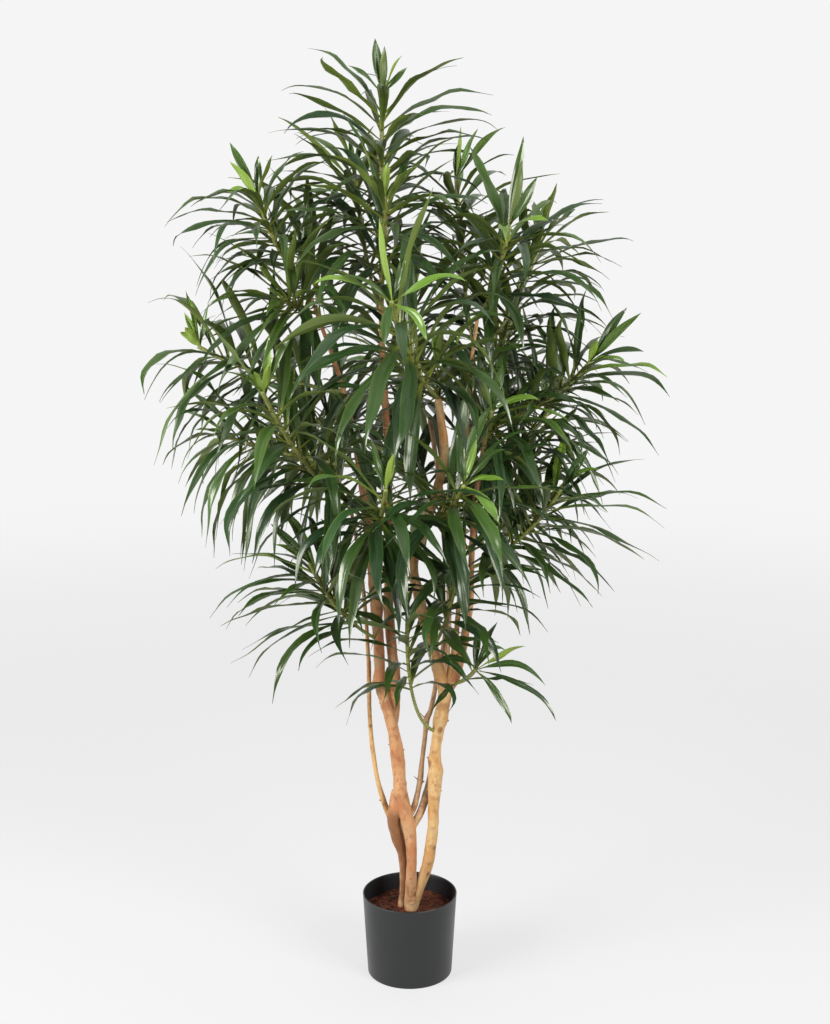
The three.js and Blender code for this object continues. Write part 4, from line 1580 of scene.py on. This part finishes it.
@dataclass(frozen=True)
class LeafRule:
    """How leaves grow: old ones stand well out and bend over, young ones are short and upright.

    Angles are in degrees and bends in radians for a leaf that lies level.
    """

    length: float = 236.0
    old_shortfall: float = 0.1
    young_shortfall: float = 0.7
    ageing: float = 11.0
    size_spread: float = 0.12
    width: float = 20.5
    width_spread: float = 0.18
    young_width: float = 0.75
    golden_angle: float = 137.5
    spin_spread: float = 16.0
    open_old: float = 72.0
    open_grown: float = 56.0
    open_young: float = 7.0
    open_spread: float = 7.0
    lift: float = 0.25
    bend_old: float = 2.0
    bend_grown: float = 1.45
    bend_young: float = 0.2
    bend_spread: float = 0.3
    limp_below: float = 950.0
    stiff_above: float = 1600.0
    stiff_share: float = 0.78
    limpness: float = 1.7
    drift: float = 0.35
    tail_curl: float = 0.45
    wobble: float = 0.11
    roll: float = 0.16
    twist: float = 0.32
    young_turning: float = 0.4
    root_depth: float = 0.55
    steepest: float = 1.45
    fold: float = 21.0
    young_fold: float = 40.0
    bud_fold: float = 17.0
    young_cut: float = 0.14
    below_buds: float = 0.87
    bud_facing: float = 0.8
    arch_facing: float = 0.42
    tone_spread: float = 0.07
    cool_spread: float = 0.25
    wave: float = 2.1
    thickness: float = 0.55
    fine_steps: int = 48
    stations: tuple[int, ...] = (0, 3, 7, 11, 15, 19, 23, 27, 31, 35, 38, 41, 44, 48)
    outline: tuple[tuple[float, float], ...] = (
        (0, 0.36),
        (0.1, 0.4),
        (0.2, 0.62),
        (0.3, 0.86),
        (0.4, 1.0),
        (0.55, 1.0),
        (0.65, 0.92),
        (0.74, 0.7),
        (0.82, 0.42),
        (0.89, 0.19),
        (0.95, 0.08),
        (1, 0.04),
    )

    def grow(self, heads: tuple[Head, ...], lines: list[Spline], twig: Twig, seed: int) -> Leaves:
        """Deals out every leaf's own values, oldest first in a golden spiral up each twig.

        Args:
            heads: the heads.
            lines: their twigs' middle lines.
            twig: the twigs' sizes.
            seed: the seed of each leaf's small differences.

        Returns:
            One array for each value, with a row for each leaf.
        """
        random = np.random.default_rng(seed)
        counts = [head.leaves for head in heads]
        total = sum(counts)
        asked = ("bare", "size", "limp", "breadth", "lime", "cool")
        own = {key: np.repeat([getattr(head, key) for head in heads], counts) for key in asked}
        budded = {bud.head for bud in BUDS}
        youngest = [self.below_buds if head.name in budded else 1 for head in heads]
        age = np.concatenate([np.linspace(0, last, count) for last, count in zip(youngest, counts)])
        at = blend(own["bare"], twig.last_leaf_share, age)
        start = np.repeat(random.uniform(0, 360, len(heads)), counts)
        order = np.concatenate([np.arange(count) for count in counts])
        spin = np.radians(start + order * self.golden_angle + random.uniform(-1, 1, total) * self.spin_spread)
        bounds = np.cumsum([0] + counts)
        root = np.concatenate([line.at(at[a:b]) for line, a, b in zip(lines, bounds, bounds[1:])])
        axis = np.concatenate([line.heading(at[a:b]) for line, a, b in zip(lines, bounds, bounds[1:])])
        steep = np.abs(axis[:, 2]) > 0.95
        seat_side = unit(np.cross(axis, np.where(steep[:, None], np.array([1.0, 0, 0]), UP)))
        radial = seat_side * np.cos(spin)[:, None] + np.cross(axis, seat_side) * np.sin(spin)[:, None]
        youth = age**self.ageing
        growth = (1 - self.old_shortfall * (1 - age) ** 3 - self.young_shortfall * youth) * own["size"]
        opened = blend(blend(self.open_old, self.open_grown, age), self.open_young, youth)
        opened = np.radians(np.maximum(opened + random.normal(0, self.open_spread, total), 3))[:, None]
        start = axis * np.cos(opened) + radial * np.sin(opened)
        lift = (self.lift * (1 - youth))[:, None] * (1 - np.maximum(start[:, 2:], 0))
        bend = blend(blend(self.bend_old, self.bend_grown, age), self.bend_young, youth)
        held = blend(1.0, self.stiff_share, ease(self.limp_below, self.stiff_above, root[:, 2]))
        bend = bend * np.sqrt(own["size"]) * held * own["limp"]
        widths = random.uniform(1 - self.width_spread, 1 + self.width_spread, total) * own["breadth"]
        light = np.repeat(counts, counts) - order <= own["lime"]
        tone = np.minimum(age + random.normal(0, self.tone_spread, total), 1)
        return {
            "tone": np.where(light, LIGHT, tone),
            "cool": own["cool"] + random.normal(0, self.cool_spread, total),
            "root": root + radial * twig.radius(at, own["bare"])[:, None] * self.root_depth,
            "start": unit(start + UP * lift),
            "length": self.length * growth * (1 + random.uniform(-1, 1, total) * self.size_spread),
            "width": self.width * blend(1, self.young_width, youth) * widths * np.sqrt(own["size"]),
            "bend": bend * (1 + random.normal(0, self.bend_spread, total)),
            "fold": np.radians(blend(self.fold, self.young_fold, youth)),
            "cut": self.young_cut * youth,
            "drift": random.normal(0, self.drift, total),
            "curl": random.normal(0, self.tail_curl, total),
            "roll": random.normal(0, self.roll, total) * blend(1, self.young_turning, youth),
            "twist": random.normal(0, self.twist, total) * blend(1, self.young_turning, youth),
            "phase": random.uniform(0, TURN, (total, 3)).T,
            "waves": random.uniform(1.6, 3.4, total),
            "shade": random.uniform(0, 1, total) ** 1.6,
        }

    def unfold(self, buds: tuple[Bud, ...], tips: dict[str, np.ndarray], seed: int) -> Leaves:
        """Gives the listed young leaves the same values as the grown ones.

        A blade whose pitch falls keeps its chord's slope if tan p0 = sinh(asinh(tan p) + mean), where p is
        the chord's pitch, and mean is the fall K(s) averaged along the blade, bend / (limpness + 1). An
        upright blade turns its face to the front: the face's share -f_y cos t + l_y sin t is greatest where
        tan t = l_y / -f_y. An arched one turns its upper side there in part.

        Args:
            buds: the young leaves.
            tips: the tips of the heads' twigs by name.
            seed: the seed of their small differences.

        Returns:
            One array for each value, with a row for each young leaf.
        """
        random = np.random.default_rng(seed)
        total = len(buds)
        chord = np.array([bud.tip for bud in buds], dtype=float)
        bend = np.array([bud.bend for bud in buds])
        flat = np.linalg.norm(chord[:, :2], axis=1)
        pitch = np.arctan(np.sinh(np.arcsinh(chord[:, 2] / flat) + bend / (self.limpness + 1)))
        level = chord[:, :2] / flat[:, None]
        side = np.stack([-level[:, 1], level[:, 0], np.zeros(total)], axis=1)
        face = np.cross(unit(chord), side)
        turn = np.arctan2(side[:, 1], -face[:, 1])
        upright = (turn - math.pi * np.round(turn / math.pi)) * self.bud_facing
        arched = np.arctan2(side[:, 1], np.abs(face[:, 1])) * self.arch_facing
        turn = blend(upright, arched, ease(0.3, 0.8, bend))
        return {
            "tone": np.array([bud.age for bud in buds]),
            "cool": random.uniform(0, 0.6, total),
            "root": np.array([tips[bud.head] for bud in buds]),
            "start": np.concatenate([level * np.cos(pitch)[:, None], np.sin(pitch)[:, None]], axis=1),
            "length": np.linalg.norm(chord, axis=1) * (1 + 0.05 * bend),
            "width": np.array([bud.width for bud in buds], dtype=float),
            "bend": bend,
            "fold": np.full(total, math.radians(self.bud_fold)),
            "cut": np.full(total, self.young_cut),
            "drift": random.normal(0, 0.1, total),
            "curl": random.normal(0, 0.2, total),
            "roll": turn + random.normal(0, 0.15, total),
            "twist": random.normal(0, 0.15, total),
            "phase": random.uniform(0, TURN, (total, 3)).T,
            "waves": random.uniform(0.8, 1.6, total),
            "shade": random.uniform(0, 1, total),
        }

    def midribs(self, leaf: Leaves) -> tuple[np.ndarray, np.ndarray, np.ndarray]:
        """Works out every leaf's midrib.

        A blade's pitch p falls by dp = -k(s) cos(p) ds, which has the answer
        tan p = sinh(asinh(tan p0) - K(s)) with K(s) = bend s^limpness. Its heading drifts sideways by
        drift s^2 and curls at the tail, and both pitch and heading wobble a little as sines of s. The
        midrib is the running sum.

        Args:
            leaf: the values of every leaf.

        Returns:
            Points, directions and horizontal side directions, each leaf a row of fine steps.
        """
        start = leaf["start"]
        s = np.linspace(0, 1, self.fine_steps + 1)[None, :]
        pitch = np.arctan2(start[:, 2], np.hypot(start[:, 0], start[:, 1]))[:, None]
        rise = np.arcsinh(np.tan(np.clip(pitch, -self.steepest, self.steepest)))
        falling = np.arctan(np.sinh(rise - leaf["bend"][:, None] * s**self.limpness))
        heading = np.arctan2(start[:, 1], start[:, 0])[:, None] + leaf["drift"][:, None] * s**2
        heading = heading + leaf["curl"][:, None] * ease(0.65, 1.0, s)
        wobble = self.wobble * ease(0.1, 0.5, s) * ease(0, 150, leaf["length"])[:, None]
        swing = TURN * leaf["waves"][:, None] * s + leaf["phase"][2][:, None]
        heading = heading + wobble * np.sin(swing)
        falling = falling + wobble * np.cos(swing * 0.8)
        along = np.stack(
            [np.cos(falling) * np.cos(heading), np.cos(falling) * np.sin(heading), np.sin(falling)], axis=-1
        )
        step = leaf["length"][:, None, None] / self.fine_steps
        middle = (along[:, 1:] + along[:, :-1]) / 2
        walked = np.concatenate([np.zeros((len(start), 1, 3)), np.cumsum(middle * step, axis=1)], axis=1)
        points = leaf["root"][:, None] + walked
        side = np.stack([-np.sin(heading), np.cos(heading), np.zeros_like(heading)], axis=-1)
        return points, along, side

    def blades(self, leaf: Leaves, points: np.ndarray, along: np.ndarray, side: np.ndarray) -> np.ndarray:
        """Gives every blade's rings of four: left edge, upper midrib, right edge and lower midrib.

        With h the half width, f the fold and w the wave, an edge lies at
        c +- h cos f side + (h sin f + w) face, and the lower midrib at c - thickness face. The side and
        face turn about the midrib by roll + twist s.

        Args:
            leaf: the values of every leaf.
            points: the midribs' points.
            along: their directions.
            side: their horizontal side directions.

        Returns:
            Points by leaf, station and place in the ring.
        """
        pick = list(self.stations)
        s = np.array(pick) / self.fine_steps
        centre, ahead, level = points[:, pick], along[:, pick], side[:, pick]
        face = np.cross(ahead, level)
        turn = (leaf["roll"][:, None] * ease(0.0, 0.3, s) + leaf["twist"][:, None] * s)[..., None]
        across = level * np.cos(turn) + face * np.sin(turn)
        outward = face * np.cos(turn) - level * np.sin(turn)
        share = np.interp(s * (1 - leaf["cut"][:, None]), *np.array(self.outline).T)
        share = share * blend(1, np.sqrt(1.002 - s**6), np.minimum(leaf["cut"] / self.young_cut, 1)[:, None])
        half = (leaf["width"][:, None] * share / 2)[..., None]
        fold = np.minimum(leaf["fold"][:, None] * blend(1.6, 0.8, ease(0.0, 0.4, s)), 1.25)[..., None]
        wave = self.wave * share[..., None] * np.sin(
            TURN * leaf["waves"][:, None, None] * s[None, :, None] + leaf["phase"][:2].T[:, None, :]
        )
        left = centre + across * half * np.cos(fold) + outward * (half * np.sin(fold) + wave[..., :1])
        right = centre - across * half * np.cos(fold) + outward * (half * np.sin(fold) + wave[..., 1:])
        depth = (self.thickness * (0.5 + 0.5 * share))[..., None]
        return np.stack([left, centre, right, centre - outward * depth], axis=2)


@dataclass(frozen=True)
class Gap:
    """An opening between the leaves, through which a stretch of a limb shows from the front.

    It has the limb's name, the heights between which the stretch runs, how far round the limb's middle line
    it is clear, and at how many posts along it that is looked at.
    """

    limb: str
    low: float
    high: float
    clear: float
    posts: int = 16


GAPS = (Gap("bough_front", 1066.0, 1160.0, 15.0),)


@dataclass(frozen=True)
class Crown:
    """All the leaf heads: their twigs, and their leaves dealt by age into tones."""

    twig: Twig
    rule: LeafRule
    tones: tuple[Tone, ...]
    box_low: np.ndarray
    box_high: np.ndarray
    eye: np.ndarray
    seed: int = 905
    stand_proud: float = 22.0
    shortest: float = 0.4
    limb_gap: float = 3.0
    post_gap: float = 8.0
    checked: tuple[int, int, int] = (8, 36, 3)

    def build(self, twig_finish: TwigPlastic) -> None:
        """Makes the twigs, grows the leaves, and makes one piece of each tone.

        Args:
            twig_finish: what the twigs are made of.
        """
        lines = [self.twig.spline(head, LIMB_NAMED[head.limb].spline()) for head in HEADS]
        skin = Skin("leaf_twigs")
        for head, line in zip(HEADS, lines):
            self.twig.build(skin, head, line)
        seat(skin.finished(twig_finish.material()), Slot.FOLIAGE, *HEAD_NAMES)
        grown = self.rule.grow(HEADS, lines, self.twig, self.seed)
        tips = {head.name: line.at(self.twig.last_leaf_share) for head, line in zip(HEADS, lines)}
        young = self.rule.unfold(BUDS, tips, self.seed + 2)
        leaf = {}
        for key, values in grown.items():
            leaf[key] = np.concatenate([values, young[key]], axis=-1 if key == "phase" else 0)
        points, _, _ = self.rule.midribs(leaf)
        kept = self.fitted(leaf, points) & ~self.hiding(points)
        points, along, side = self.rule.midribs(leaf)
        rings = self.rule.blades(leaf, points, along, side)
        older = -np.inf
        for tone in self.tones:
            mine = kept & (leaf["tone"] > older) & (leaf["tone"] <= tone.youngest)
            older = tone.youngest
            self.piece(tone, rings[mine], leaf["shade"][mine], np.clip(leaf["cool"][mine], 0, 1))

    def fitted(self, leaf: Leaves, points: np.ndarray) -> np.ndarray:
        """Shortens leaves that would leave the part's box, and finds those that stay clear of the limbs.

        Args:
            leaf: the values of every leaf; the lengths are changed.
            points: the midribs' points.

        Returns:
            Which leaves are kept.
        """
        low, high = self.box_low - self.stand_proud, self.box_high + self.stand_proud
        outside = np.maximum(points - high, low - points).max(axis=2)
        inside = outside.max(axis=1) <= 0
        last = points.shape[1] - 1
        first = np.where(inside, last, np.argmax(outside > 0, axis=1))
        leaf["length"] *= np.where(inside, 1.0, np.maximum(first / last, self.shortest))
        posts, radii = [], []
        for limb in LIMBS:
            line = limb.spline()
            share = np.linspace(0, 1, int(line.length / self.post_gap))
            posts.append(line.at(share))
            radii.append(limb.radius(line, share))
        posts, radii = np.concatenate(posts), np.concatenate(radii)
        nearest = np.full(len(points), np.inf)
        for post, radius in zip(posts, radii):
            gap = np.linalg.norm(points[:, slice(*self.checked)] - post, axis=2).min(axis=1) - radius
            nearest = np.minimum(nearest, gap)
        return nearest > self.limb_gap

    def hiding(self, points: np.ndarray) -> np.ndarray:
        """Finds the leaves that would hide a limb where it shows through a gap.

        A point p is |p - c - ((p - c) . d) d| away from the line that runs from the limb's point c to the
        eye in the direction d. A leaf is in the way where a point of its midrib before the limb is near
        that line.

        Args:
            points: the midribs' points.

        Returns:
            Which leaves are in the way.
        """
        hides = np.zeros(len(points), dtype=bool)
        for gap in GAPS:
            limb = LIMB_NAMED[gap.limb]
            line = limb.spline()
            low, high = (limb.height_share(line, z) for z in (gap.low, gap.high))
            for post in line.at(np.linspace(low, high, gap.posts)):
                towards = unit(self.eye - post)
                apart = points - post
                ahead = apart @ towards
                off = np.linalg.norm(apart - ahead[..., None] * towards, axis=2)
                hides |= ((ahead > 0) & (off < gap.clear)).any(axis=1)
        log.info("%d leaves left out before the limbs that show", hides.sum())
        return hides

    def piece(self, tone: Tone, rings: np.ndarray, shade: np.ndarray, cool: np.ndarray) -> None:
        """Joins the leaves of one tone into a piece.

        The lower side's faces start at their next corner, so that both sides of a twisted blade are split
        along the same diagonals and never cross.

        Args:
            tone: the tone.
            rings: the blades' rings.
            shade: a shade for each leaf.
            cool: how far each leaf's green leans towards blue.
        """
        leaves, stations, ring = rings.shape[:3]
        quads, _ = tube_faces(stations, ring)
        quads = quads.reshape(-1, ring, 4)
        quads[:, 2:] = np.roll(quads[:, 2:], -1, axis=2)
        last = (stations - 1) * ring
        quads = np.concatenate([quads.reshape(-1, 4), [[3, 2, 1, 0]], [[last, last + 1, last + 2, last + 3]]])
        s = np.array(self.rule.stations) / self.rule.fine_steps
        across = np.array([(0, 0.5), (0.5, 1), (2, 1.5), (1.5, 1)])
        u = np.broadcast_to(across[None, :, [0, 1, 1, 0]], (stations - 1, ring, 4))
        v = np.stack([s[:-1], s[:-1], s[1:], s[1:]], axis=-1)[:, None, :].repeat(ring, axis=1)
        uv = np.stack([u, v], axis=-1)
        uv[:, 2:] = np.roll(uv[:, 2:], -1, axis=2)
        ends = np.array([[[0.5, end]] * 4 for end in (0.0, 1.0)])
        uv = np.concatenate([uv.reshape(-1, 4, 2), ends])
        faces = quads[None] + (np.arange(leaves) * stations * ring)[:, None, None]
        skin = Skin("leaves_" + tone.finish.name)
        skin.add(
            rings,
            faces,
            quad_uv=np.broadcast_to(uv[None], (leaves, *uv.shape)),
            shade=np.repeat(shade, stations * ring),
            cool=np.repeat(cool, stations * ring),
        )
        marks = np.tile([1, 2, 3, 4], leaves * stations)
        seat(skin.finished(tone.finish.material(), marks), Slot.FOLIAGE, *HEAD_NAMES)


# Studio


@dataclass(frozen=True)
class Softbox:
    """A square soft light: its name, its place and the point it faces in metres, its side and its watts."""

    name: str
    place: Triple
    aim: Triple
    side: float
    power: float

    def hang(self) -> None:
        """Hangs the light, unseen by the camera."""
        light = bpy.data.lights.new(self.name, "AREA")
        light.size = self.side
        light.energy = self.power
        hung = bpy.data.objects.new(self.name, light)
        hung.visible_camera = False
        hung.location = self.place
        x, y, z = np.array(self.place) - np.array(self.aim)
        hung.rotation_euler = (math.atan2(math.hypot(x, y), z), 0, math.atan2(x, -y))
        bpy.context.scene.collection.objects.link(hung)


LIGHTS = (
    Softbox("key_light", (2.2, -2.3, 2.3), (0.0, 0.0, 1.0), 1.6, 134.0),
    Softbox("fill_light", (-2.9, -1.8, 2.1), (0.0, 0.0, 1.1), 2.0, 206.0),
    Softbox("top_light", (0.1, -0.2, 3.9), (0.0, 0.0, 1.0), 1.6, 6.0),
)


@dataclass(frozen=True)
class Studio:
    """A plain pale floor that fades into a pale surround, soft light and the camera."""

    camera_place: Triple = (0.0104, -3.0, 1.6)
    camera_tilt: float = 77.635
    lens: float = 57.06
    sensor: float = 36.0
    backdrop: float = 0.915
    room: float = 0.28
    room_to_backdrop: tuple[float, float] = (-0.35, 0.55)
    floor_glow: float = 0.7
    floor_tone: float = 0.52
    floor_disc: float = 0.3
    floor_radius: float = 9.0
    floor_sides: int = 96
    floor_fade: tuple[float, float] = (1.2, 5.0)

    def build(self) -> None:
        """Makes the floor, the surround, the lights and the camera."""
        self.floor()
        self.surroundings()
        for light in LIGHTS:
            light.hang()
        self.camera()

    def floor(self) -> None:
        """Makes a round floor whose edge fades out, so that it meets the surround without a line."""
        t = angles(self.floor_sides)
        radii = np.array([self.floor_disc, self.floor_radius])
        x, y = np.outer(radii, np.cos(t)), np.outer(radii, np.sin(t))
        flat = np.stack([x, y, np.zeros_like(x)], axis=-1)
        ring, _ = tube_faces(2, len(t))
        mesh = bpy.data.meshes.new("studio_floor")
        mesh.from_pydata(flat.reshape(-1, 3).tolist(), [], [tuple(range(len(t)))] + ring[:, ::-1].tolist())
        floor = bpy.data.objects.new("studio_floor", mesh)
        bpy.context.scene.collection.objects.link(floor)
        shown, glow = self.floor_tone * (1 - self.floor_glow), self.backdrop * self.floor_glow
        material, tree, surface = shader("pale_floor", Roughness=0.9, Specular_IOR_Level=0.1)
        surface.inputs["Emission Strength"].default_value = glow
        surface.inputs["Base Color"].default_value = (shown, shown, shown, 1)
        surface.inputs["Emission Color"].default_value = (1, 1, 1, 1)
        span = add(tree, "ShaderNodeVectorMath", operation="LENGTH")
        tree.links.new(object_place(tree), span.inputs[0])
        fade = spread(tree, span.outputs["Value"], *self.floor_fade)
        clear = tree.nodes.new("ShaderNodeBsdfTransparent")
        mixing = tree.nodes.new("ShaderNodeMixShader")
        tree.links.new(fade, mixing.inputs[0])
        tree.links.new(surface.outputs[0], mixing.inputs[1])
        tree.links.new(clear.outputs[0], mixing.inputs[2])
        tree.links.new(mixing.outputs[0], tree.nodes["Material Output"].inputs["Surface"])
        mesh.materials.append(material)
        floor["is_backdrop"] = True

    def surroundings(self) -> None:
        """Makes the surround: a pale backdrop behind and beside the plant, and a dimmer room in front."""
        world = bpy.data.worlds.new("surround")
        world.use_nodes = True
        tree = world.node_tree
        parts = tree.nodes.new("ShaderNodeSeparateXYZ")
        tree.links.new(tree.nodes.new("ShaderNodeTexCoord").outputs["Generated"], parts.inputs[0])
        tone = spread(tree, parts.outputs["Y"], *self.room_to_backdrop, (self.room, self.backdrop))
        tree.links.new(tone, tree.nodes["Background"].inputs["Color"])
        bpy.context.scene.world = world
        bpy.context.scene.view_settings.view_transform = "Standard"

    def camera(self) -> None:
        """Sets up the camera where the photograph was taken from."""
        camera = bpy.data.cameras.new("camera")
        camera.lens = self.lens
        camera.sensor_width = self.sensor
        held = bpy.data.objects.new("camera", camera)
        held.location = self.camera_place
        held.rotation_euler = (math.radians(self.camera_tilt), 0, 0)
        bpy.context.scene.collection.objects.link(held)
        bpy.context.scene.camera = held


OLIVE = (0.062, 0.094, 0.012)
LEAF_BASE = (0.17, 0.19, 0.02)
TONES = (
    Tone(LeafCloth("old", (0.0125, 0.0333, 0.0051), OLIVE, (0.045, 0.085, 0.01), LEAF_BASE), 0.4),
    Tone(LeafCloth("mature", (0.0161, 0.0432, 0.0058), OLIVE, (0.06, 0.11, 0.012), LEAF_BASE), 0.8),
    Tone(
        LeafCloth(
            "fresh",
            top=(0.031, 0.073, 0.0084),
            under=(0.09, 0.13, 0.015),
            margin=(0.105, 0.175, 0.017),
            base=LEAF_BASE,
            gloss=0.32,
        ),
        1.0,
    ),
    Tone(
        LeafCloth(
            "light",
            top=(0.1, 0.19, 0.018),
            under=(0.165, 0.245, 0.024),
            margin=(0.185, 0.29, 0.025),
            base=(0.19, 0.25, 0.028),
            gloss=0.34,
        ),
        LIGHT,
    ),
    Tone(
        LeafCloth(
            "lime",
            top=(0.12, 0.215, 0.019),
            under=(0.155, 0.245, 0.025),
            margin=(0.19, 0.31, 0.03),
            base=(0.21, 0.27, 0.03),
            gloss=0.36,
        ),
        LIME,
    ),
)


def main() -> None:
    """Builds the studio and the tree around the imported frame, and keeps the sizes of both."""
    logging.basicConfig(level=logging.INFO, format="%(message)s")
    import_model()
    solid_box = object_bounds()
    studio = Studio()
    studio.build()
    pot = Pot()
    pot.build(PotPlastic())
    filling = Filling(pot)
    peat = Crumb("peat_crumbs", (0.118, 0.03, 0.0135), (0.035, 0.012, 0.007))
    filling.build(peat)
    filling.scatter("crumbs", peat, 2600, (0.7, 2.6), 31)
    pale = Crumb("pale_crumbs", (0.4, 0.27, 0.17), (0.2, 0.1, 0.05))
    filling.scatter("pale_crumbs", pale, 46, (0.8, 2.2), 32)
    Woodwork().build()
    low, high = (np.array(corner) / MM for corner in solid_box)
    Crown(Twig(), LeafRule(), TONES, low, high, np.array(studio.camera_place) / MM).build(TwigPlastic())
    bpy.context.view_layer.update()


if __name__ == "__main__":
    main()
